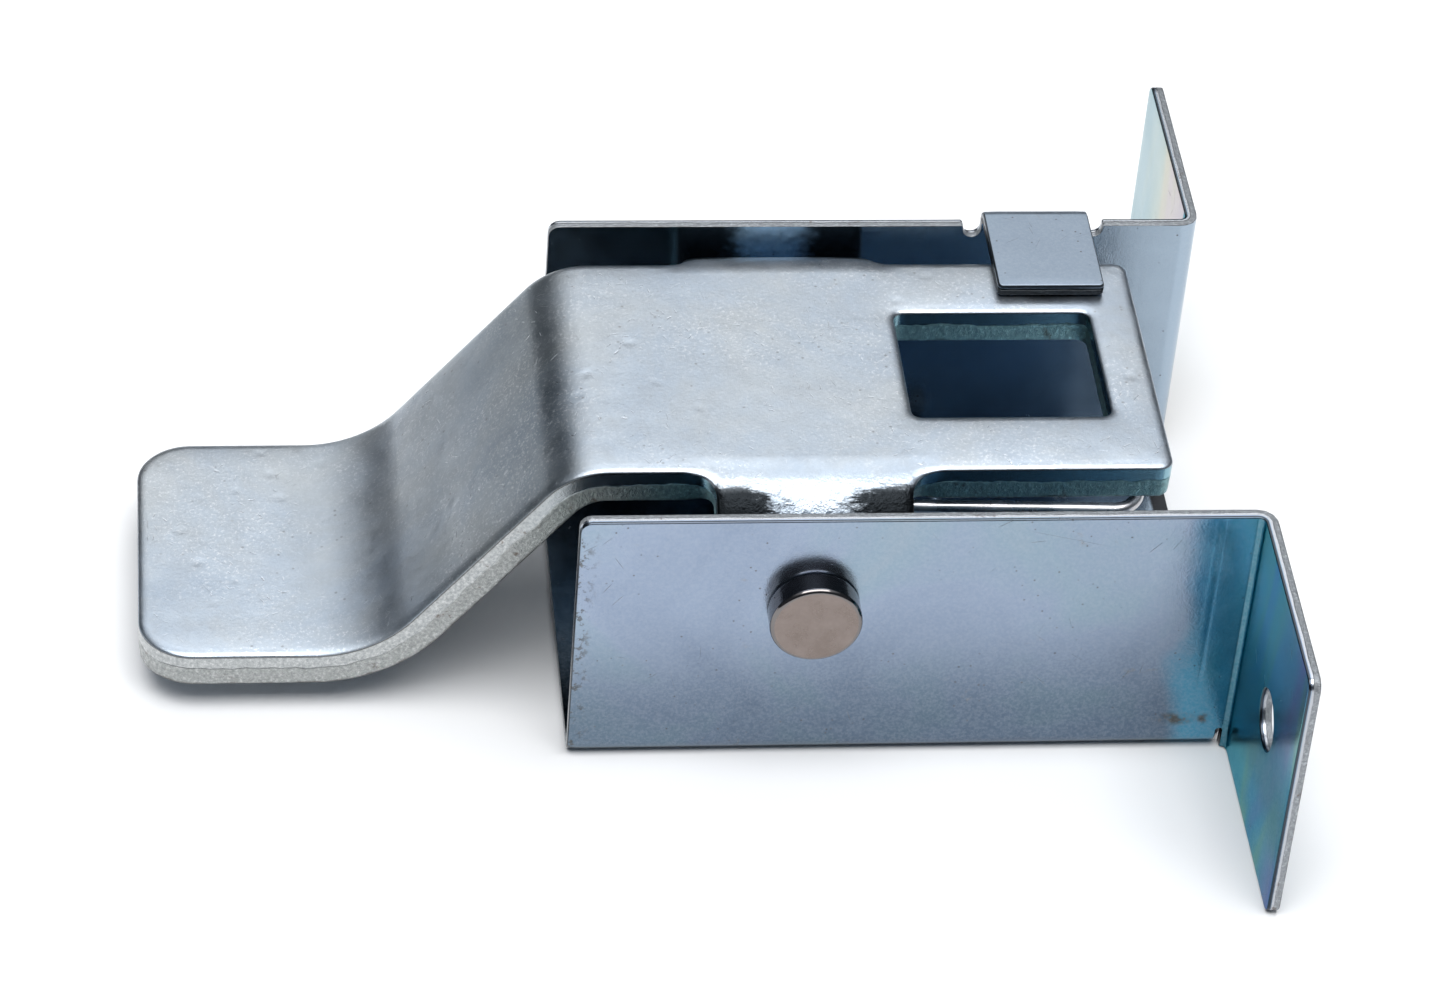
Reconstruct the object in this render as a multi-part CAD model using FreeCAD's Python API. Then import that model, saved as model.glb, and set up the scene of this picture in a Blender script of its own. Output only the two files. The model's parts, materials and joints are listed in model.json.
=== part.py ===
"""Sprung lever catch: a windowed steel lever hinged in a folded channel bracket with two screw ears.

The frame has +X along the channel towards the ears, +Y across it and +Z up, away from the channel's floor.
While a piece is built, X = 0 is the ears' mounting face, Y = 0 the middle of the channel and Z = 0 the
underside of the floor. save() then lowers it, so that the origin is the middle of the two ear holes.
"""
import FreeCAD, Part
import math
import os

Vector = FreeCAD.Vector

# ---- bracket: one folded steel sheet ----
SHEET = 1.25                    # sheet thickness
BEND_INNER = 0.6                # inner radius of every fold
BEND_OUTER = BEND_INNER + SHEET
CHANNEL_LENGTH = 67.0           # from the open end to the mounting face
CHANNEL_WIDTH = 47.5            # over the outsides of the walls
WALL_HEIGHT = 30.0              # from the floor's underside to the walls' top edges
WALL_CORNER = 1.2               # rounding of the walls' free top corners
FLOOR_END = 1.5                 # the floor stops this far short of the mounting face
FLOOR_CORNER = 1.5
EAR_REACH = 23.75               # how far an ear stands out from its wall
EAR_CORNER = 1.2
EAR_HOLE = 6.0                  # diameter
EAR_HOLE_PITCH = 72.0           # distance between the two ear holes
RELIEF_WIDTH = 0.5              # slit that frees the floor's fold from the ear's fold
RELIEF_HEIGHT = 2.4

# ---- stop tab, folded over from the top edge of the +Y wall ----
TAB_LEFT = -22.7
TAB_WIDTH = 10.8
TAB_TIP = 10.2                  # Y of its free edge
TAB_TOP = 31.8                  # height of its upper face
TAB_CORNER = 0.5
NOTCH_WIDTH = 1.8               # round-bottomed relief beside each end of the tab
NOTCH_DEPTH = 1.4

# ---- lever: one pressed steel plate ----
PLATE = 4.0                     # plate thickness
LEVER_WIDTH = 32.4
TONGUE_LEFT = -108.6            # tip of the finger tongue
TONGUE_TOP = 7.2
TONGUE_CORNER = 5.5
CATCH_RIGHT = -8.8              # end of the catch plate
CATCH_TOP = 30.3
CATCH_CORNER = 1.4
RAMP_FOOT = -84.9               # where the mid-surfaces of tongue and ramp would meet
RAMP_HEAD = -66.5               # where the mid-surfaces of ramp and catch plate would meet
FOOT_RADIUS = 14.0              # mid-surface radii of the two bends
HEAD_RADIUS = 6.0
TOP_ROLLOVER = 0.5              # the punched upper edges are drawn over by this much
WINDOW_LEFT = -33.5
WINDOW_LENGTH = 19.8
WINDOW_WIDTH = 16.4
WINDOW_CORNER = 1.0
LUG_WIDTH = 19.0
LUG_GAP = 0.3                   # between a lug and the wall beside it
LUG_BEND_OUTER = 8.0
LUG_ROOT = 1.6                  # rounding between the lever's side and a lug

# ---- pivot pin and its retaining ring ----
PIN_X = -44.0
PIN_Z = 19.1
PIN_DIAMETER = 6.0
PIN_HEAD_DIAMETER = 9.0
PIN_HEAD_HEIGHT = 2.7
PIN_RIM = 0.6                   # rounding of the head's outer rim
PIN_NECK = 0.35                 # rounding of the head's edge against the wall
PIN_CHAMFER = 0.5
WALL_HOLE = 6.1                 # diameter of the pin's holes in the walls
LUG_HOLE = 6.12                 # running fit of the lugs on the pin
GROOVE_DIAMETER = 5.0
GROOVE_WIDTH = 0.8
GROOVE_GAP = 0.1                # between the +Y wall and the groove
PIN_END = 1.4                   # pin left beyond the groove
RING_THICKNESS = 0.7
RING_DIAMETER = 11.3
RING_HOLLOW = 7.8               # diameter inside the ring, between its three prongs
RING_PRONG = 2.2                # width of a prong
RING_MOUTH = 4.6

# ---- return spring: one wire, two coils on the pin, a bail under the lever, two legs on the floor ----
WIRE = 1.3
COIL_RADIUS = 4.2               # to the middle of the wire
COIL_OUTER_Y = 16.9             # wire centre of the turn beside the lug
COIL_INNER_Y = 12.2
COIL_TURNS = 3                  # whole turns, besides the part turn between the two legs
FOOT_X = -25.7                  # where a leg's foot lies on the floor
FOOT_TIP_Y = 14.2               # the feet are turned inwards as far as this
FOOT_BEND = 1.8
ARM_RISE = math.radians(8)      # slope at which the bail's arms leave the coils
ARM_LEAD = 3.0                  # they run straight for this long before they spread
ARM_BEND = 6.0
KNEE_X = -34.5                  # where the arms become level
KNEE_Y = 15.3
BAIL_X = -11.5                  # cross-bar of the bail
BAIL_Y = 16.2                   # its corners, measured to the arms' centre lines
BAIL_BEND = 2.6
BAIL_Z = 24.7                   # height of the arms
BAIL_CROWN = 0.85               # the cross-bar rises this much to meet the lever
CROWN_Y = 6.0                   # and is level between its two crown bends
CROWN_BEND = 20.0
SLOPE_STEPS = 30                # repeats that settle the slope of the legs

HALF_WIDTH = CHANNEL_WIDTH / 2
INNER_HALF = HALF_WIDTH - SHEET
EAR_HOLE_Z = WALL_HEIGHT / 2
LUG_FACE = INNER_HALF - LUG_GAP
SLACK = 1.0                     # cutters reach this far past what they cut
TINY = 1e-6                     # lengths and slopes under this are taken as none
UPWARD = 0.3                    # a face whose normal rises more than this looks up

Y_AXIS = Vector(0, 1, 0)
X_AXIS = Vector(1, 0, 0)


def rounded_outline(corners, radii, place):
    """Face inside 2-D corners, each rounded by its own radius; place() sets a 2-D point in space."""
    spots = []
    for i, corner in enumerate(corners):
        spots.append(corner_spots(corners[i - 1], corner, corners[(i + 1) % len(corners)], radii[i]))
    edges = []
    for i, spot in enumerate(spots):
        if len(spot) == 3:
            edges.append(Part.Arc(*[place(*point) for point in spot]).toShape())
        start, end = place(*spot[-1]), place(*spots[(i + 1) % len(spots)][0])
        if start.distanceToPoint(end) > TINY:
            edges.append(Part.LineSegment(start, end).toShape())
    return Part.Face(Part.Wire(edges))


def corner_spots(before, corner, after, radius):
    """Start, middle and end of the arc that rounds a corner, or the corner alone if its radius is 0."""
    if radius == 0:
        return [corner]
    arms = []
    for end in (before, after):
        run = (end[0] - corner[0], end[1] - corner[1])
        size = math.hypot(*run)
        arms.append((run[0] / size, run[1] / size))
    half = math.acos(arms[0][0] * arms[1][0] + arms[0][1] * arms[1][1]) / 2
    bisector = (arms[0][0] + arms[1][0], arms[0][1] + arms[1][1])
    size = math.hypot(*bisector)
    depth = radius / math.sin(half) - radius
    tangent = radius / math.tan(half)
    middle = (corner[0] + bisector[0] / size * depth, corner[1] + bisector[1] / size * depth)
    start, end = [(corner[0] + arm[0] * tangent, corner[1] + arm[1] * tangent) for arm in arms]
    return [start, middle, end]


def block(low, high):
    """Box between two opposite corners."""
    size = [high[i] - low[i] for i in range(3)]
    return Part.makeBox(*size, Vector(*low))


def rounded_slab(low, high, radii, bottom, top):
    """Upright slab over a rectangle in X and Y, with the radii of its corners in turn."""
    corners = [(low[0], low[1]), (high[0], low[1]), (high[0], high[1]), (low[0], high[1])]
    face = rounded_outline(corners, radii, lambda x, y: Vector(x, y, bottom))
    return face.extrude(Vector(0, 0, top - bottom))


def across(radius, x, z, start, end):
    """Cylinder along Y."""
    return Part.makeCylinder(radius, end - start, Vector(x, start, z), Y_AXIS)


# ---- bracket ----

def channel():
    """Floor and walls as one U section."""
    out, inn = HALF_WIDTH, INNER_HALF
    corners = [(-out, WALL_HEIGHT), (-out, 0), (out, 0), (out, WALL_HEIGHT),
               (inn, WALL_HEIGHT), (inn, SHEET), (-inn, SHEET), (-inn, WALL_HEIGHT)]
    radii = [0, BEND_OUTER, BEND_OUTER, 0, 0, BEND_INNER, BEND_INNER, 0]
    section = rounded_outline(corners, radii, lambda y, z: Vector(-CHANNEL_LENGTH, y, z))
    length = CHANNEL_LENGTH - BEND_OUTER
    body = section.extrude(Vector(length, 0, 0))
    free_corners = [e for e in body.Edges
                    if e.BoundBox.XMax < TINY - CHANNEL_LENGTH
                    and e.BoundBox.ZMin > WALL_HEIGHT - TINY]
    return body.makeFillet(WALL_CORNER, free_corners)


def floor_lip():
    """The flat of the floor that runs on between the ear folds."""
    half = INNER_HALF - BEND_INNER
    start = -CHANNEL_LENGTH / 2
    radii = [0, FLOOR_CORNER, FLOOR_CORNER, 0]
    return rounded_slab((start, -half), (-FLOOR_END, half), radii, 0, SHEET)


def ear(side):
    """End of a wall and the ear folded outwards from it; side is -1 or 1."""
    wall_start = -BEND_OUTER
    tip = HALF_WIDTH + EAR_REACH
    corners = [(wall_start, HALF_WIDTH), (-SHEET, HALF_WIDTH), (-SHEET, tip),
               (0, tip), (0, INNER_HALF), (wall_start, INNER_HALF)]
    radii = [0, BEND_INNER, 0, 0, BEND_OUTER, 0]
    section = rounded_outline(corners, radii, lambda x, y: Vector(x, side * y, 0))
    body = section.extrude(Vector(0, 0, WALL_HEIGHT))
    tip_corners = [e for e in body.Edges
                   if abs(e.BoundBox.YMin - side * tip) < TINY
                   and abs(e.BoundBox.YMax - side * tip) < TINY
                   and e.BoundBox.ZLength < TINY]
    body = body.makeFillet(EAR_CORNER, tip_corners)
    hole = Part.makeCylinder(EAR_HOLE / 2, SHEET + 2 * SLACK,
                             Vector(-SHEET - SLACK, side * EAR_HOLE_PITCH / 2, EAR_HOLE_Z), X_AXIS)
    return body.cut(hole)


def stop_tab():
    """Tab folded over the channel from the +Y wall; it stops the catch plate from below."""
    root = WALL_HEIGHT - NOTCH_DEPTH
    under = TAB_TOP - SHEET
    corners = [(HALF_WIDTH, root), (HALF_WIDTH, TAB_TOP), (TAB_TIP, TAB_TOP),
               (TAB_TIP, under), (INNER_HALF, under), (INNER_HALF, root)]
    radii = [0, BEND_OUTER, 0, 0, BEND_INNER, 0]
    section = rounded_outline(corners, radii, lambda y, z: Vector(TAB_LEFT, y, z))
    body = section.extrude(Vector(TAB_WIDTH, 0, 0))
    tip_corners = [e for e in body.Edges
                   if e.BoundBox.YMax < TAB_TIP + TINY and e.BoundBox.ZLength > SHEET / 2]
    return body.makeFillet(TAB_CORNER, tip_corners)


def tab_notch(x):
    """Round-bottomed relief in the top edge of the +Y wall."""
    radius = NOTCH_WIDTH / 2
    low = WALL_HEIGHT - NOTCH_DEPTH + radius
    round_end = across(radius, x, low, INNER_HALF - SLACK, HALF_WIDTH + SLACK)
    slot = block((x - radius, INNER_HALF - SLACK, low), (x + radius, HALF_WIDTH + SLACK, WALL_HEIGHT + SLACK))
    return round_end.fuse(slot)


def fold_relief(side):
    """Slit that separates the floor's fold from the wall's end."""
    inner, outer = sorted((side * (INNER_HALF - BEND_INNER), side * (HALF_WIDTH + SLACK)))
    end = -BEND_OUTER
    return block((end - RELIEF_WIDTH, inner, -SLACK), (end, outer, RELIEF_HEIGHT))


def bracket():
    body = channel().fuse([floor_lip(), ear(-1), ear(1)])
    body = body.cut([fold_relief(-1), fold_relief(1)])
    tab_right = TAB_LEFT + TAB_WIDTH
    body = body.cut([tab_notch(TAB_LEFT - NOTCH_WIDTH / 2), tab_notch(tab_right + NOTCH_WIDTH / 2)])
    body = body.fuse(stop_tab())
    body = body.cut(across(WALL_HOLE / 2, PIN_X, PIN_Z, -HALF_WIDTH - SLACK, HALF_WIDTH + SLACK))
    return body.removeSplitter()


# ---- lever ----

def lever_strip():
    """Tongue, ramp and catch plate: one strip with two bends, square at its ends."""
    half = PLATE / 2
    tongue_z, catch_z = TONGUE_TOP - half, CATCH_TOP - half
    slope = math.atan2(catch_z - tongue_z, RAMP_HEAD - RAMP_FOOT)
    shift = half * math.tan(slope / 2)
    corners = [(TONGUE_LEFT, tongue_z + half), (RAMP_FOOT - shift, tongue_z + half),
               (RAMP_HEAD - shift, catch_z + half), (CATCH_RIGHT, catch_z + half),
               (CATCH_RIGHT, catch_z - half), (RAMP_HEAD + shift, catch_z - half),
               (RAMP_FOOT + shift, tongue_z - half), (TONGUE_LEFT, tongue_z - half)]
    radii = [0, FOOT_RADIUS - half, HEAD_RADIUS + half, 0, 0, HEAD_RADIUS - half, FOOT_RADIUS + half, 0]
    section = rounded_outline(corners, radii, lambda x, z: Vector(x, -LEVER_WIDTH / 2, z))
    return section.extrude(Vector(0, LEVER_WIDTH, 0))


def face_slope(face):
    """Z of a face's outward normal at its middle."""
    u_low, u_high, v_low, v_high = face.ParameterRange
    return face.normalAt((u_low + u_high) / 2, (v_low + v_high) / 2).z


def upper_outline(body):
    """Edges where the faces that look up meet the upright ones."""
    upper = [e for f in body.Faces if face_slope(f) > UPWARD for e in f.Edges]
    upright = [e for f in body.Faces if abs(face_slope(f)) < TINY for e in f.Edges]
    return [e for e in upper if any(e.isSame(other) for other in upright)]


def lever_plan():
    """Upright prism whose outline is the lever seen from above, without its lugs."""
    half = LEVER_WIDTH / 2
    radii = [TONGUE_CORNER, CATCH_CORNER, CATCH_CORNER, TONGUE_CORNER]
    return rounded_slab((TONGUE_LEFT, -half), (CATCH_RIGHT, half), radii, -SLACK, CATCH_TOP + SLACK)


def lug(side):
    """Lug bent down from the lever's side, round at its lower end; side is -1 or 1."""
    bend_inner = LUG_BEND_OUTER - PLATE
    root = LUG_FACE - LUG_BEND_OUTER
    inner_face = LUG_FACE - PLATE
    bottom = PIN_Z - LUG_WIDTH / 2
    under = CATCH_TOP - PLATE
    corners = [(root, CATCH_TOP), (LUG_FACE, CATCH_TOP), (LUG_FACE, bottom),
               (inner_face, bottom), (inner_face, under), (root, under)]
    radii = [0, LUG_BEND_OUTER, 0, 0, bend_inner, 0]
    left = PIN_X - LUG_WIDTH / 2
    section = rounded_outline(corners, radii, lambda y, z: Vector(left, side * y, z))
    body = section.extrude(Vector(LUG_WIDTH, 0, 0))
    inner, outer = sorted((side * root, side * (LUG_FACE + SLACK)))
    round_end = across(LUG_WIDTH / 2, PIN_X, PIN_Z, inner, outer)
    shank = block((left, inner, PIN_Z), (left + LUG_WIDTH, outer, CATCH_TOP + SLACK))
    return body.common(round_end.fuse(shank))


def lug_root(side, end):
    """Fillet of metal between the lever's side and one edge of a lug; end is -1 or 1 along X."""
    edge_x = PIN_X + end * LUG_WIDTH / 2
    edge_y = side * LEVER_WIDTH / 2
    x_span = sorted((edge_x, edge_x + end * LUG_ROOT))
    y_span = sorted((edge_y - side * TOP_ROLLOVER, edge_y + side * LUG_ROOT))
    body = block((x_span[0], y_span[0], CATCH_TOP - PLATE), (x_span[1], y_span[1], CATCH_TOP))
    middle = Vector(edge_x + end * LUG_ROOT, edge_y + side * LUG_ROOT, CATCH_TOP - PLATE - SLACK)
    return body.cut(Part.makeCylinder(LUG_ROOT, PLATE + 2 * SLACK, middle))


def above_lug_bend(side):
    """What has to be trimmed from the flat plate where a lug's bend has already started to fall."""
    left = PIN_X - LUG_WIDTH / 2 - LUG_ROOT
    right = PIN_X + LUG_WIDTH / 2 + LUG_ROOT
    root = LUG_FACE - LUG_BEND_OUTER
    axis_z = CATCH_TOP - LUG_BEND_OUTER
    inner, outer = sorted((side * root, side * (LUG_FACE + SLACK)))
    body = block((left, inner, axis_z), (right, outer, CATCH_TOP + SLACK))
    start = Vector(left - SLACK, side * root, axis_z)
    return body.cut(Part.makeCylinder(LUG_BEND_OUTER, right - left + 2 * SLACK, start, X_AXIS))


def lever():
    body = lever_strip().common(lever_plan())
    body = body.makeFillet(TOP_ROLLOVER, upper_outline(body))
    window = rounded_slab((WINDOW_LEFT, -WINDOW_WIDTH / 2), (WINDOW_LEFT + WINDOW_LENGTH, WINDOW_WIDTH / 2),
                          [WINDOW_CORNER] * 4, CATCH_TOP - PLATE - SLACK, CATCH_TOP + SLACK)
    body = body.cut(window)
    roots = [lug_root(side, end) for side in (-1, 1) for end in (-1, 1)]
    body = body.fuse([lug(-1), lug(1)] + roots)
    body = body.cut([above_lug_bend(-1), above_lug_bend(1)])
    body = body.cut(across(LUG_HOLE / 2, PIN_X, PIN_Z, -HALF_WIDTH, HALF_WIDTH))
    return body.removeSplitter()


# ---- pin and ring ----

def pivot_pin():
    """Turned pin, head on the -Y side, ring groove on the +Y side."""
    radius, head = PIN_DIAMETER / 2, PIN_HEAD_DIAMETER / 2
    face = -HALF_WIDTH - PIN_HEAD_HEIGHT
    groove = HALF_WIDTH + GROOVE_GAP
    end = groove + GROOVE_WIDTH + PIN_END
    corners = [(0, face), (head, face), (head, -HALF_WIDTH), (radius, -HALF_WIDTH), (radius, groove),
               (GROOVE_DIAMETER / 2, groove), (GROOVE_DIAMETER / 2, groove + GROOVE_WIDTH),
               (radius, groove + GROOVE_WIDTH), (radius, end - PIN_CHAMFER), (radius - PIN_CHAMFER, end), (0, end)]
    radii = [0, PIN_RIM, PIN_NECK, 0, 0, 0, 0, 0, 0, 0, 0]
    section = rounded_outline(corners, radii, lambda r, y: Vector(PIN_X + r, y, PIN_Z))
    return section.revolve(Vector(PIN_X, 0, PIN_Z), Y_AXIS, 360)


def retaining_ring():
    """Flat E-shaped ring: three prongs grip the pin's groove, and the mouth opens downwards."""
    low = HALF_WIDTH + GROOVE_GAP + (GROOVE_WIDTH - RING_THICKNESS) / 2
    high = low + RING_THICKNESS
    body = across(RING_DIAMETER / 2, PIN_X, PIN_Z, low, high)
    body = body.cut(across(RING_HOLLOW / 2, PIN_X, PIN_Z, low, high))
    reach = (RING_DIAMETER + RING_HOLLOW) / 4
    prongs = []
    for turn in (-90, 0, 90):
        prong = block((-RING_PRONG / 2, low, 0), (RING_PRONG / 2, high, reach))
        prong.rotate(Vector(0, 0, 0), Y_AXIS, turn)
        prong.translate(Vector(PIN_X, 0, PIN_Z))
        prongs.append(prong)
    body = body.fuse(prongs)
    body = body.cut(across(GROOVE_DIAMETER / 2, PIN_X, PIN_Z, low, high))
    mouth = block((PIN_X - RING_MOUTH / 2, low, PIN_Z - RING_DIAMETER), (PIN_X + RING_MOUTH / 2, high, PIN_Z))
    mouth = mouth.cut(across(RING_HOLLOW / 2, PIN_X, PIN_Z, low, high))
    return body.cut(mouth).removeSplitter()


# ---- return spring ----

def bend_arc(before, corner, after, radius):
    """Arc that turns a wire at a corner in space."""
    arms = [(before - corner).normalize(), (after - corner).normalize()]
    half = arms[0].getAngle(arms[1]) / 2
    bisector = (arms[0] + arms[1]).normalize()
    tangent = radius / math.tan(half)
    middle = corner + bisector * (radius / math.sin(half) - radius)
    return Part.Arc(corner + arms[0] * tangent, middle, corner + arms[1] * tangent).toShape()


def bent_line(corners, radii):
    """Edges of a wire's centre line: straight runs between corners, with an arc at each inner corner."""
    edges = []
    start = corners[0]
    for i, radius in enumerate(radii):
        arc = bend_arc(corners[i], corners[i + 1], corners[i + 2], radius)
        edges += [Part.LineSegment(start, arc.firstVertex().Point).toShape(), arc]
        start = arc.lastVertex().Point
    if start.distanceToPoint(corners[-1]) > TINY:
        edges.append(Part.LineSegment(start, corners[-1]).toShape())
    return edges


def coil_pitch(turn):
    return (COIL_OUTER_Y - COIL_INNER_Y) * 2 * math.pi / turn


def coil_line(start_angle, turn):
    """Centre line of the -Y coil: from its outer end at start_angle, clockwise seen from -Y, through turn."""
    helix = Part.makeHelix(coil_pitch(turn), COIL_OUTER_Y - COIL_INNER_Y, COIL_RADIUS)
    cos, sin = math.cos(start_angle), math.sin(start_angle)
    helix.Placement = FreeCAD.Placement(FreeCAD.Matrix(cos, sin, 0, PIN_X,
                                                       0, 0, 1, -COIL_OUTER_Y,
                                                       sin, -cos, 0, PIN_Z,
                                                       0, 0, 0, 1))
    return helix.Edges


def coil_spot(angle, y, turn):
    """Point of the coil at an angle about the pin, and the wire's direction there."""
    point = Vector(PIN_X + COIL_RADIUS * math.cos(angle), y, PIN_Z + COIL_RADIUS * math.sin(angle))
    lead = coil_pitch(turn) / (2 * math.pi * COIL_RADIUS)
    return point, Vector(math.sin(angle), lead, -math.cos(angle)).normalize()


def leg_slope():
    """Downward slope of a leg from the coil's underside to its foot on the floor."""
    drop = PIN_Z - SHEET - WIRE / 2
    slope = 0
    for _ in range(SLOPE_STEPS):
        run = FOOT_X - PIN_X + COIL_RADIUS * math.sin(slope)
        slope = math.atan2(drop - COIL_RADIUS * math.cos(slope), run)
    return slope


def spring_line():
    """Centre line of the -Y half: foot, leg, coil, arm and half the cross-bar."""
    slope = leg_slope()
    turn = 2 * math.pi * COIL_TURNS + math.pi - slope - ARM_RISE
    leg_top, leg_way = coil_spot(-math.pi / 2 - slope, -COIL_OUTER_Y, turn)
    arm_start, arm_way = coil_spot(math.pi / 2 + ARM_RISE, -COIL_INNER_Y, turn)
    heel = leg_top - leg_way * ((FOOT_X - leg_top.x) / -leg_way.x)
    tip = Vector(FOOT_X, -FOOT_TIP_Y, heel.z)
    knee = Vector(KNEE_X, -KNEE_Y, BAIL_Z)
    corner = Vector(BAIL_X, -BAIL_Y, BAIL_Z)
    crown = Vector(BAIL_X, -CROWN_Y, BAIL_Z + BAIL_CROWN)
    middle = Vector(BAIL_X, 0, BAIL_Z + BAIL_CROWN)
    edges = bent_line([tip, heel, leg_top], [FOOT_BEND])
    edges += coil_line(-math.pi / 2 - slope, turn)
    edges += bent_line([arm_start, arm_start + arm_way * ARM_LEAD, knee, corner, crown, middle],
                       [ARM_BEND, ARM_BEND, BAIL_BEND, CROWN_BEND])
    return edges


def torsion_spring():
    edges = spring_line()
    mirrored = [edge.mirror(Vector(0, 0, 0), Y_AXIS) for edge in reversed(edges)]
    line = Part.Wire(Part.__sortEdges__(edges + mirrored))
    start = line.OrderedEdges[0]
    way = start.tangentAt(start.FirstParameter)
    profile = Part.Wire(Part.makeCircle(WIRE / 2, line.OrderedVertexes[0].Point, way))
    body = line.makePipeShell([profile], True, False, 1)
    expected = math.pi * WIRE ** 2 / 4 * line.Length
    print(f"spring wire {line.Length:.1f} mm, volume {body.Volume:.1f}, section times length {expected:.1f}")
    return body


def save(name, shape):
    """Check a piece, move it into the part's frame and write it."""
    shape = shape.copy()
    shape.translate(Vector(0, 0, -EAR_HOLE_Z))
    solids = shape.Solids
    assert len(solids) == 1 and solids[0].isValid(), (name, len(solids), shape.isValid())
    solids[0].exportStep(os.path.join("parts", name + ".step"))
    box = solids[0].BoundBox
    print(f"{name:16s} {solids[0].Volume:10.1f} mm3  "
          f"X {box.XMin:8.2f} {box.XMax:8.2f}  Y {box.YMin:7.2f} {box.YMax:7.2f}  Z {box.ZMin:7.2f} {box.ZMax:7.2f}")


os.makedirs("parts", exist_ok=True)
save("bracket", bracket())
save("lever", lever())
save("pivot_pin", pivot_pin())
save("retaining_ring", retaining_ring())
save("torsion_spring", torsion_spring())
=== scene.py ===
"""Looks of the sprung lever catch: pressed sheet, a turned pin and a wound spring, in zinc and nickel."""
import json
import math

import bpy
import numpy as np
from mathutils import Matrix, Vector, noise
from mathutils.geometry import delaunay_2d_cdt


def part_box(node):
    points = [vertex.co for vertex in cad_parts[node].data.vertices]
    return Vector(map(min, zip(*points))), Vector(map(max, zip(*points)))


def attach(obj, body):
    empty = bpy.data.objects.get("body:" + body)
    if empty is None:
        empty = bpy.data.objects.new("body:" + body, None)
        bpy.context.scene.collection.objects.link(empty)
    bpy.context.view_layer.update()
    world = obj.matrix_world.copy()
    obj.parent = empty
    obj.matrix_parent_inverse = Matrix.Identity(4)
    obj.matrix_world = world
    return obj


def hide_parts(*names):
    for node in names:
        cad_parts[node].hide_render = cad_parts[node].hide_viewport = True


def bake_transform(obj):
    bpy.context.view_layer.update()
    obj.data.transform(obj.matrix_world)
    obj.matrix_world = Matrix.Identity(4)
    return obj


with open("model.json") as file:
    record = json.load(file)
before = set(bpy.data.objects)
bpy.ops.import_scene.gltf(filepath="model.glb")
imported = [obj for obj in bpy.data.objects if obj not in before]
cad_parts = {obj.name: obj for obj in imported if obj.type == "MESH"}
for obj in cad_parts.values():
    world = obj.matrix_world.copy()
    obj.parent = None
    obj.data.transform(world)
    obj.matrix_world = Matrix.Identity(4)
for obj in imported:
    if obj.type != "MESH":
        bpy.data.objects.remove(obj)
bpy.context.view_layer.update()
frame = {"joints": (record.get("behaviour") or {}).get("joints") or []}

# Lengths below are in millimetres, in the frame's axes, and MM turns them into Blender's metres.
MM = 0.001


def corners_mm(node):
    """Lowest and highest corner of a CAD node, in millimetres."""
    low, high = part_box(node)
    return low / MM, high / MM


BRACKET_LOW, BRACKET_HIGH = corners_mm("bracket")
LEVER_LOW, LEVER_HIGH = corners_mm("lever")
PIN_LOW, PIN_HIGH = corners_mm("pivot_pin")
RING_LOW, RING_HIGH = corners_mm("retaining_ring")
HINGE = Vector(frame["joints"][0]["pos_m"]) / MM

# ---- bracket ----
SHEET = 1.25
BEND_INNER = 0.6
BEND_OUTER = BEND_INNER + SHEET
BEND_MIDDLE = BEND_INNER + SHEET / 2
FOLD_LENGTH = BEND_MIDDLE * math.pi / 2  # of sheet that a square fold takes up
FLOOR = BRACKET_LOW.z
HALF_WIDTH = 23.75  # over the outside of one wall
WALL_TOP = FLOOR + 30
WALL_CORNER = 1.2
FLOOR_END = 1.5
FLOOR_CORNER = 0.4
EAR_CORNER = 1.2
EAR_HOLE = 3.0  # radii of the holes
WALL_HOLE = 3.05
EAR_HOLE_Y = 36.0
RELIEF_WIDTH = 0.5
RELIEF_HEIGHT = 2.4
RELIEF_CORNER = 0.2
TAB_LEFT = -22.7
TAB_RIGHT = -11.9
TAB_TIP = 10.2
TAB_CORNER = 0.5
NOTCH_WIDTH = 1.8
NOTCH_DEPTH = 1.4
NOTCH_EDGE = 0.3

# ---- lever ----
PLATE = 4.0
LEVER_HALF = 16.2
TONGUE_TOP = FLOOR + 7.2
TONGUE_CORNER = 5.5
CATCH_CORNER = 1.4
RAMP_FOOT = -84.9
RAMP_HEAD = -66.5
FOOT_RADIUS = 14.0  # radii of the two bends, at the plate's middle
HEAD_RADIUS = 6.0
WINDOW_LEFT = -33.5
WINDOW_RIGHT = -13.7
WINDOW_HALF = 8.2
WINDOW_CORNER = 1.0
LUG_HALF = 9.5  # half of a lug's width, and the radius of its end
LUG_ROOT = 1.6
LUG_BEND = 6.0  # at the plate's middle
LUG_SPREAD = 3.4  # the plate beside a lug is drawn down over this length
LUG_HOLE = 3.06

# ---- pin, ring and spring ----
PIN_RADIUS = 3.0
PIN_RIM = 0.45
PIN_NECK = 0.35
PIN_CHAMFER = 0.5
GROOVE_RADIUS = 2.5
GROOVE_GAP = 0.1
GROOVE_WIDTH = 0.8
RING_HOLLOW = 3.9
RING_PRONG = 1.1  # half of a prong's width
RING_MOUTH = 2.3  # half of the mouth's width
WIRE = 0.65
COIL_RADIUS = 4.2
COIL_OUTER_Y = 16.9
COIL_INNER_Y = 12.2
COIL_TURNS = 3
FOOT_X = -25.7
FOOT_TIP_Y = 14.2
FOOT_BEND = 1.8
ARM_RISE = math.radians(8)
ARM_LEAD = 3.0
ARM_BEND = 6.0
KNEE_X = -34.5
KNEE_Y = 15.3
BAIL_X = -11.5
BAIL_Y = 16.2
BAIL_BEND = 2.6
BAIL_Z = FLOOR + 24.7
BAIL_CROWN = 0.85
CROWN_Y = 6.0
CROWN_BEND = 20.0
SLOPE_STEPS = 30

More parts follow.
